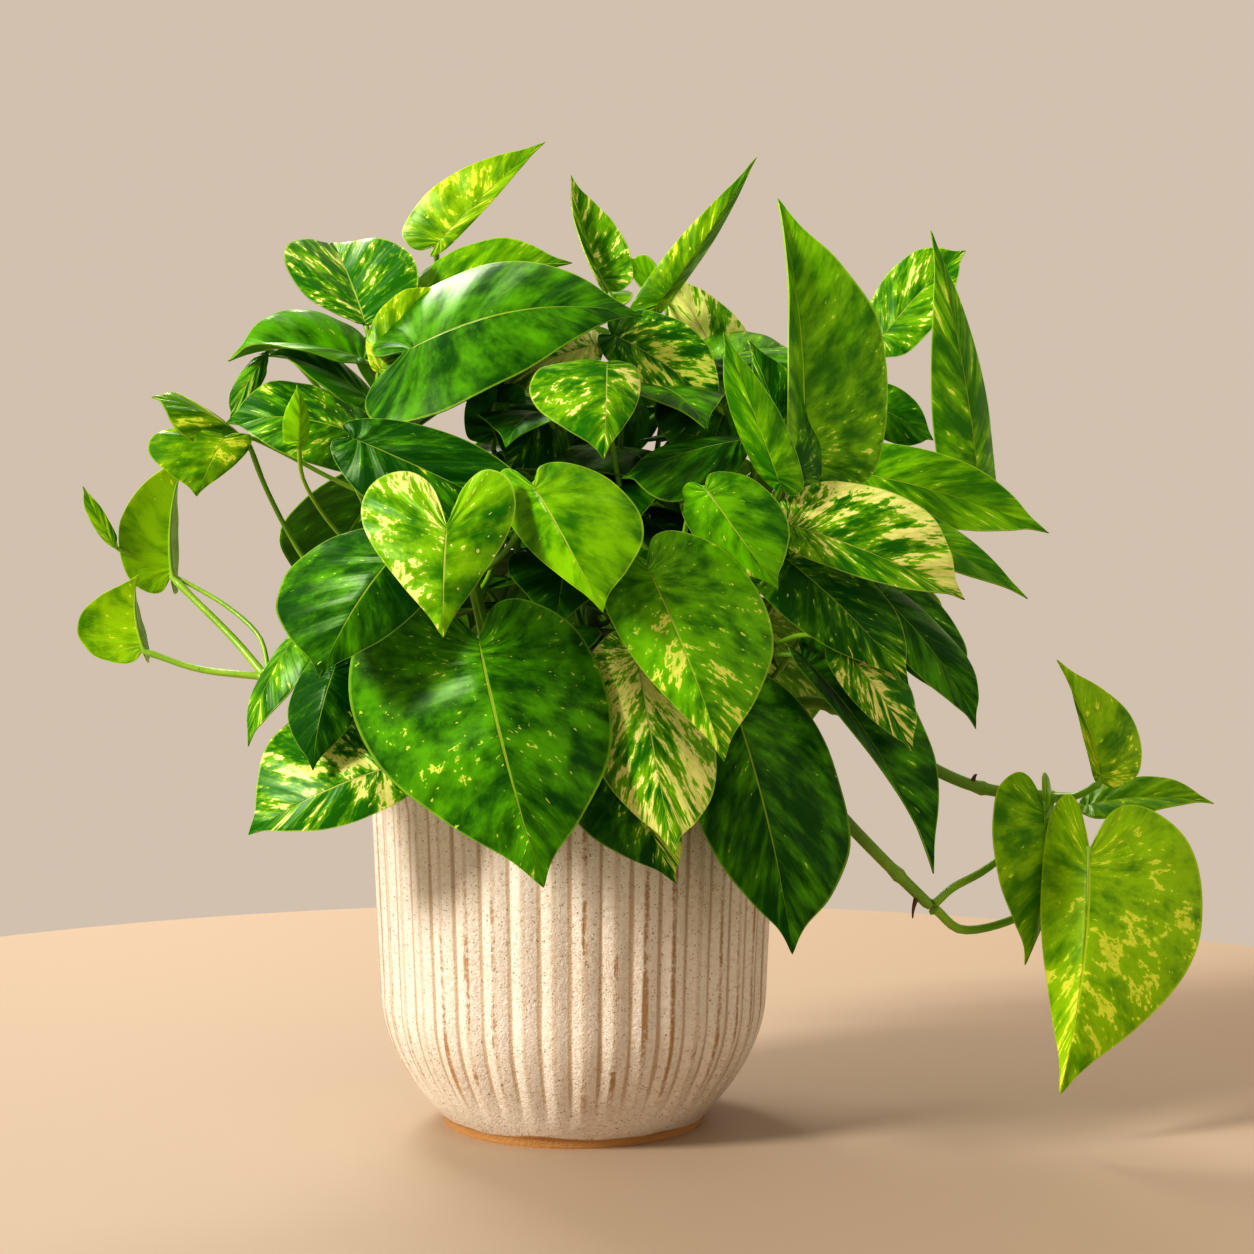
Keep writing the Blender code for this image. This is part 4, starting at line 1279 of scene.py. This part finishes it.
extra("left_bud", "sunlit", (-180, 0, 227), (-193, -2, 252), (-189, 0, 236), (-183, -2, 239), 1, 0.02,
      "runner_left", at=1.0, lightness=0.45, amount=0.0)
extra("left_thin", "flecked", (-116, -30, 304), (-130, -36, 278), (-127, -32, 294), (-120, -34, 288), 2,
      0.04, "stem_left", at=1.0)
extra("crown_dark", "dark", (65, -30, 298), (48, -62, 253), (33, -40, 286), (77, -40, 280), 5, 0.14,
      "stem_right", at=1.0)
extra("crown_middle", "flecked", (-4, -34, 286), (-24, -66, 257), (-28, -44, 285), (-2, -50, 263), 5,
      0.14, "stem_back", at=0.9, lightness=0.3)
extra("crown_back", "dark", (27, 10, 292), (-5, -20, 263), (-1, 0, 292), (27, -10, 267), 5, 0.14,
      "stem_back", at=0.95)
print("leaves so far:", len(LEAVES))

# %% [markdown]
# ## Filling leaves
#
# These grow at the back and inside, where the plant would otherwise look thin from above and
# from behind.

# %% Filling leaves
extra("fill_back_left", "dark", (-58, 50, 226), (-98, 66, 166), (-98, 40, 206), (-52, 78, 194), 7, 0.16,
      "stem_back", at=0.6)
extra("fill_back_centre", "flecked", (26, 66, 240), (36, 96, 176), (2, 80, 216), (62, 72, 214), 7, 0.16,
      "stem_back_right", at=0.9)
extra("fill_top_back", "bright", (-8, 48, 318), (-22, 82, 292), (-40, 56, 312), (16, 66, 310), 6, 0.16,
      "stem_back", at=1.0, amount=0.3)
extra("fill_left_back", "flecked", (-44, 40, 266), (-76, 66, 214), (-74, 30, 248), (-40, 74, 238), 7,
      0.14, "stem_left", at=0.9)
extra("fill_left_side", "dark", (-70, 22, 212), (-94, 40, 150), (-98, 10, 186), (-62, 46, 180), 7, 0.16,
      "stem_left", at=0.6, flecks=0.6)
extra("fill_right_back", "dark", (96, 28, 262), (142, 54, 216), (116, 52, 252), (128, 20, 240), 7, 0.14,
      "stem_right", at=0.9, amount=0.15)
extra("fill_crown", "bright", (-20, -4, 316), (14, 34, 326), (-20, 26, 332), (18, 0, 322), 5, 0.14,
      "stem_back", at=1.0, amount=0.2)
extra("fill_crown_right", "flecked", (52, -26, 296), (88, 10, 304), (52, 6, 310), (90, -28, 296), 5,
      0.14, "stem_right", at=1.0)
extra("fill_middle", "dark", (10, -24, 268), (42, -66, 246), (-8, -56, 262), (54, -34, 258), 6, 0.16,
      "stem_back", at=0.85)
extra("fill_middle_left", "flecked", (-34, -16, 262), (-58, -58, 244), (-68, -22, 256), (-18, -44, 254),
      6, 0.16, "stem_left", at=0.8)
extra("fill_low_right", "dark", (70, 40, 176), (84, 58, 118), (56, 62, 154), (98, 34, 152), 7, 0.16,
      "stem_back_right", at=0.6, amount=0.12)
extra("fill_low_left", "bright", (-62, 46, 168), (-80, 62, 112), (-88, 36, 148), (-54, 70, 144), 7,
      0.16, "stem_left", at=0.35)

print("leaves so far:", len(LEAVES))

# %% [markdown]
# ## Inner leaves
#
# Shaded leaves grow all round the stems and close the view through the plant. A golden turn from
# one to the next spreads them evenly, and chance does the rest.

# %% Inner leaves
INNER_COUNT = 34
INNER_LOW = 168               # millimetres above the table
INNER_HIGH = 300
GOLDEN_TURN = math.pi * (3 - math.sqrt(5))


def plan_inner_leaves():
    chance = random.Random(7)
    for number in range(INNER_COUNT):
        share = (number + 0.5) / INNER_COUNT
        turn = number * GOLDEN_TURN
        outward = Vector((math.cos(turn), math.sin(turn), 0))
        sideways = Vector((-outward.y, outward.x, 0))
        height = INNER_LOW + (INNER_HIGH - INNER_LOW) * share
        start = outward * chance.uniform(30, 46) + Vector((6, -14, height))
        length = chance.uniform(58, 78)
        fall = chance.uniform(-0.75, -0.15)
        tip = start + (outward * (1 + fall * 0.3) + Vector((0, 0, fall))) * length * 0.8
        widest = start.lerp(tip, 0.2) + Vector((0, 0, 3))
        half = length * chance.uniform(0.34, 0.42)
        stem = "stem_front_left" if outward.x < 0 else "stem_front_right"
        if outward.y > 0:
            stem = "stem_back"
        extra(f"inner_{number:02d}", chance.choice(("dark", "dark", "flecked")), start, tip,
              widest + sideways * half, widest - sideways * half, 6, 0.15, stem,
              at=0.35 + 0.6 * share, lightness=chance.uniform(0.25, 0.5))


plan_inner_leaves()
print("leaves planned:", len(LEAVES), "of which framed:", sum(plan["framed"] for plan in LEAVES))

# %% [markdown]
# ## A blade
#
# The outline of a pothos blade is a heart with a drawn-out tip. Nine marks say how far the margin
# is from the midrib as it runs from the stalk round the lobe to the tip, and where on the midrib
# the vein to that mark starts. A smooth curve through the marks gives as many rows as needed.
# Corners then lie along veins, which is also how a real blade swells between them: the blade is
# pushed up and down a little from vein to vein and ruffled at its margin. An upper and a lower
# skin with a thin rim between them make it a real sheet, half a millimetre thick.

# %% Blade outline
BLADE_THICKNESS = 0.55 * MM
BLADE_BULGE = 0.05
WIDEST_AT = 0.18
ROWS = 7 * VEIN_COUNT
HALF_COLUMNS = 9
VEIN_SWEEP = 1.25             # veins leave the midrib steeply and bend towards the tip
QUILT = 0.007                 # rise between veins as a share of the half width
RUFFLE = 0.060                # wave of the margin as a share of the half width
# (share of the lobe, share of the length, share of the half width, vein's start on the midrib)
MARGIN = [
    (0.00, 0.00, 0.00, 0.00),
    (-0.85, 0.00, 0.20, 0.01),
    (-1.00, 0.00, 0.50, 0.03),
    (-0.35, 0.00, 0.86, 0.06),
    (0.00, 0.20, 1.00, 0.13),
    (0.00, 0.46, 0.87, 0.30),
    (0.00, 0.70, 0.51, 0.52),
    (0.00, 0.87, 0.17, 0.74),
    (0.00, 1.00, 0.00, 1.00),
]
MARGIN_ROWS = smooth_path([Vector(mark) for mark in MARGIN], ROWS + 1)


def set_blade_frame(plan):
    """Work out which way a leaf's upper face looks, and its two half widths."""
    along = plan["tip"] - plan["base"]
    normal = along.cross(plan["right"] - plan["left"]).normalized()
    outward = Vector((plan["base"].x, plan["base"].y, 0)).normalized() + Vector((0, 0, 0.8))
    if normal.dot(outward) < 0:
        normal = -normal
    plan["along"] = along
    plan["normal"] = normal
    widest = spine(plan, WIDEST_AT)
    plan["arms"] = (plan["left"] - widest, plan["right"] - widest)


def spine(plan, share):
    """A place on the midrib."""
    bow = plan["arch"] * 4 * share * (1 - share)
    return plan["base"] + plan["along"] * share + plan["normal"] * bow


def blade_place(plan, number, row, column):
    """A place on the middle of the blade, and its places in the two maps of centimetres and shares."""
    lobe_share, length_share, width, vein_start = MARGIN_ROWS[row]
    reach = abs(column) / HALF_COLUMNS
    margin = lobe_share * plan["lobe"] + length_share
    share = vein_start + (margin - vein_start) * reach**VEIN_SWEEP
    arm = plan["arms"][0 if column < 0 else 1]
    across = reach * max(0.0, width)
    bulge = BLADE_BULGE * arm.length * 4 * across * (1 - across)
    side_shift = math.pi if column > 0 else 0.0
    vein_wave = math.cos(math.tau * VEIN_COUNT * row / ROWS + side_shift)
    quilt = -QUILT * arm.length * vein_wave * 4 * reach * (1 - reach)
    wave_place = Vector((row * 0.16, number * 7.3, 1.7 if column < 0 else 5.1))
    ruffle = RUFFLE * arm.length * noise.noise(wave_place) * reach**2 * width
    point = spine(plan, share) + arm * across + plan["normal"] * (bulge + quilt + ruffle)
    centimetres = (math.copysign(across * arm.length, column) / CM, share * plan["along"].length / CM)
    return point, ((column / HALF_COLUMNS + 1) / 2, row / ROWS), centimetres


print("blade grid:", ROWS, "rows by", 2 * HALF_COLUMNS + 1, "columns")

# %% [markdown]
# ## The skins of a blade
#
# A blade's middle surface comes first. Moving it half a thickness up and half down along its
# normals gives the two skins, and a thin rim closes the gap between them.

# %% Blade skins
def blade_surface(plan, number):
    """The middle surface of a blade: corners, faces, outline and the corners' map places."""
    corners, blade_map, measure_map = [], [], []

    def add(row, column):
        point, shares, centimetres = blade_place(plan, number, row, column)
        corners.append(point)
        blade_map.append(shares)
        measure_map.append(centimetres)

    across = 2 * HALF_COLUMNS + 1
    add(0, 0)
    for row in range(1, ROWS):
        for column in range(-HALF_COLUMNS, HALF_COLUMNS + 1):
            add(row, column)
    add(ROWS, 0)
    tip = len(corners) - 1
    faces = []
    for column in range(across - 1):
        faces.append((0, 1 + column, 2 + column))
        for row in range(ROWS - 2):
            corner = 1 + row * across + column
            faces.append((corner, corner + across, corner + across + 1, corner + 1))
        faces.append((tip, tip - across + column + 1, tip - across + column))
    left_edge = [1 + row * across for row in range(ROWS - 1)]
    right_edge = [row * across + across for row in reversed(range(ROWS - 1))]
    return corners, faces, [0] + left_edge + [tip] + right_edge, blade_map, measure_map


def blade_skins(plan, number):
    """A closed blade: upper skin, lower skin and rim, with its three maps."""
    corners, faces, outline, blade_map, measure_map = blade_surface(plan, number)
    middle = bpy.data.meshes.new("middle")
    middle.from_pydata(corners, [], faces)
    middle.update()
    normals = [vertex.normal.copy() for vertex in middle.vertices]
    bpy.data.meshes.remove(middle)
    average = sum(normals, Vector())
    if average.dot(plan["normal"]) < 0:
        normals = [-normal for normal in normals]
        faces = [tuple(reversed(face)) for face in faces]
        outline = list(reversed(outline))
    half = BLADE_THICKNESS / 2
    upper = [corner + normal * half for corner, normal in zip(corners, normals)]
    lower = [corner - normal * half for corner, normal in zip(corners, normals)]
    count = len(corners)
    skins = list(faces) + [tuple(count + index for index in reversed(face)) for face in faces]
    for here, there in zip(outline, outline[1:] + outline[:1]):
        skins.append((there, here, count + here, count + there))
    upper_face = 1.0 if plan["turned"] else 0.0
    face_map = [(upper_face, float(number))] * count + [(1 - upper_face, float(number))] * count
    return upper + lower, skins, blade_map * 2, measure_map * 2, face_map


print("blade thickness in mm:", round(BLADE_THICKNESS / MM, 2))

# %% [markdown]
# ## A stalk
#
# Each blade hangs on a long green stalk that grows from a ring on the stem. The frame has already
# found a way for most stalks that touches nothing. A frame's stalk is a six-sided rod, so its
# middle line can be read back ring by ring, from the end at the stem to the blade. Leaves without a
# frame of their own get a simple curve. Under the blade the stalk runs on as the midrib and thins
# out towards the tip.

# %% Stalk
STALK_RADIUS = 1.3 * MM
STALK_TIP_SHARE = 0.75
FRAME_RING = 6                # corners in each ring of the frame's stalks
BLADE_END_ROOM = 4 * MM       # rings nearer the blade than this are skipped
STALK_STEPS = 26
ROUTE_STEPS = 60              # places on a stem where a stalk may start
RIB_STEPS = 12
LARGE_BLADE = 110 * MM
RIB_END = 0.86                # the midrib stands out for this share of the blade
RIB_SHARE = 0.05              # its radius is at most this share of half the blade


def framed_stations(plan):
    """The middle of each ring of the frame's own stalk, from the stem to the blade."""
    work = bmesh.new()
    work.from_mesh(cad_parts[plan["name"]].data)
    bmesh.ops.remove_doubles(work, verts=work.verts, dist=0.002 * MM)
    route = smooth_path(stem_routes[plan["stem"]], ROUTE_STEPS)
    nearest = min(work.verts, key=lambda vertex: min((vertex.co - place).length for place in route))
    ring = sorted(work.verts, key=lambda vertex: (vertex.co - nearest.co).length)[:FRAME_RING]
    seen, stations = set(ring), []
    while len(ring) == FRAME_RING:
        middle = sum((vertex.co for vertex in ring), Vector()) / FRAME_RING
        if (middle - plan["base"]).length < BLADE_END_ROOM:
            break
        stations.append(middle)
        beside = {edge.other_vert(vertex) for vertex in ring for edge in vertex.link_edges}
        ring = sorted(beside - seen, key=lambda vertex: vertex.index)
        seen.update(ring)
    work.free()
    return stations


def stalk_path(plan):
    """The stalk's middle line, from inside its stem to the start of the blade."""
    route = smooth_path(stem_routes[plan["stem"]], ROUTE_STEPS)
    if plan["framed"]:
        stations = framed_stations(plan)
    else:
        centre, along_stem = on_path(route, plan["at"])
        towards = plan["base"] - centre
        outward = (towards - along_stem * towards.dot(along_stem)).normalized()
        start = centre + outward * STEM_RADIUS
        arrival = (plan["along"].normalized() * 0.5 + plan["normal"] * 0.7).normalized()
        first = start + outward * (towards.length * 0.3)
        second = plan["base"] - arrival * min(towards.length * 0.35, 26 * MM)
        stations = bezier((start, first, second, plan["base"]), 6)[:-1]
    heart = min(route, key=lambda point: (point - stations[0]).length)
    into_stem = stations[0].lerp(heart, 0.6)
    drop = plan["normal"] * (STALK_RADIUS * STALK_TIP_SHARE * 0.8)
    return smooth_path([into_stem] + stations + [plan["base"] - drop], STALK_STEPS)


def stalk_rod(plan):
    """The stalk with its midrib, as one rod that ends in a point under the blade."""
    path = stalk_path(plan)
    size = plan["stalk"] * min(1.0, 0.55 + plan["along"].length / LARGE_BLADE)
    radii = []
    for index in range(STALK_STEPS):
        share = index / (STALK_STEPS - 1)
        sheath = 0.45 * math.exp(-((share / 0.07) ** 2))
        knee = 0.16 * math.exp(-(((share - 0.94) / 0.05) ** 2))
        radii.append(STALK_RADIUS * size * (1 - (1 - STALK_TIP_SHARE) * share + sheath + knee))
    half_width = min(plan["arms"][0].length, plan["arms"][1].length)
    rib_radius = min(STALK_RADIUS * STALK_TIP_SHARE, RIB_SHARE * half_width)
    for index in range(1, RIB_STEPS + 1):
        share = RIB_END * index / RIB_STEPS
        radius = rib_radius * (1 - 0.85 * index / RIB_STEPS)
        path.append(spine(plan, share) - plan["normal"] * (radius * 0.8))
        radii.append(radius)
    return rod(path, radii, SLIM_SIDES)


# %% [markdown]
# ## Growing the leaves
#
# Blade and stalk become one piece with two finishes. The corners of the blade come first, so the
# three flat maps only have to be padded for the stalk, whose finish doesn't read them.

# %% Grow the leaves
def grow_leaf(number, plan):
    set_blade_frame(plan)
    corners, faces, blade_map, measure_map, face_map = blade_skins(plan, number)
    stalk_corners, stalk_faces = stalk_rod(plan)
    first = len(corners)
    blade_faces = len(faces)
    faces += [tuple(first + index for index in face) for face in stalk_faces]
    piece = new_piece(
        plan["name"] + "_blade", corners + stalk_corners, faces, [make_leaf_finish(plan), STALK_GREEN],
        plan["slot"], [plan["name"]] if plan["framed"] else [],
    )
    for face in piece.data.polygons[blade_faces:]:
        face.material_index = 1
    padding = [(0.0, 0.0)] * len(stalk_corners)
    add_map(piece, "blade", blade_map + padding)
    add_map(piece, "measure", measure_map + padding)
    add_map(piece, "face", face_map + padding)
    return piece


leaf_pieces = [grow_leaf(number, plan) for number, plan in enumerate(LEAVES)]
print("leaves grown:", len(leaf_pieces), "with", sum(len(p.data.polygons) for p in leaf_pieces), "faces")
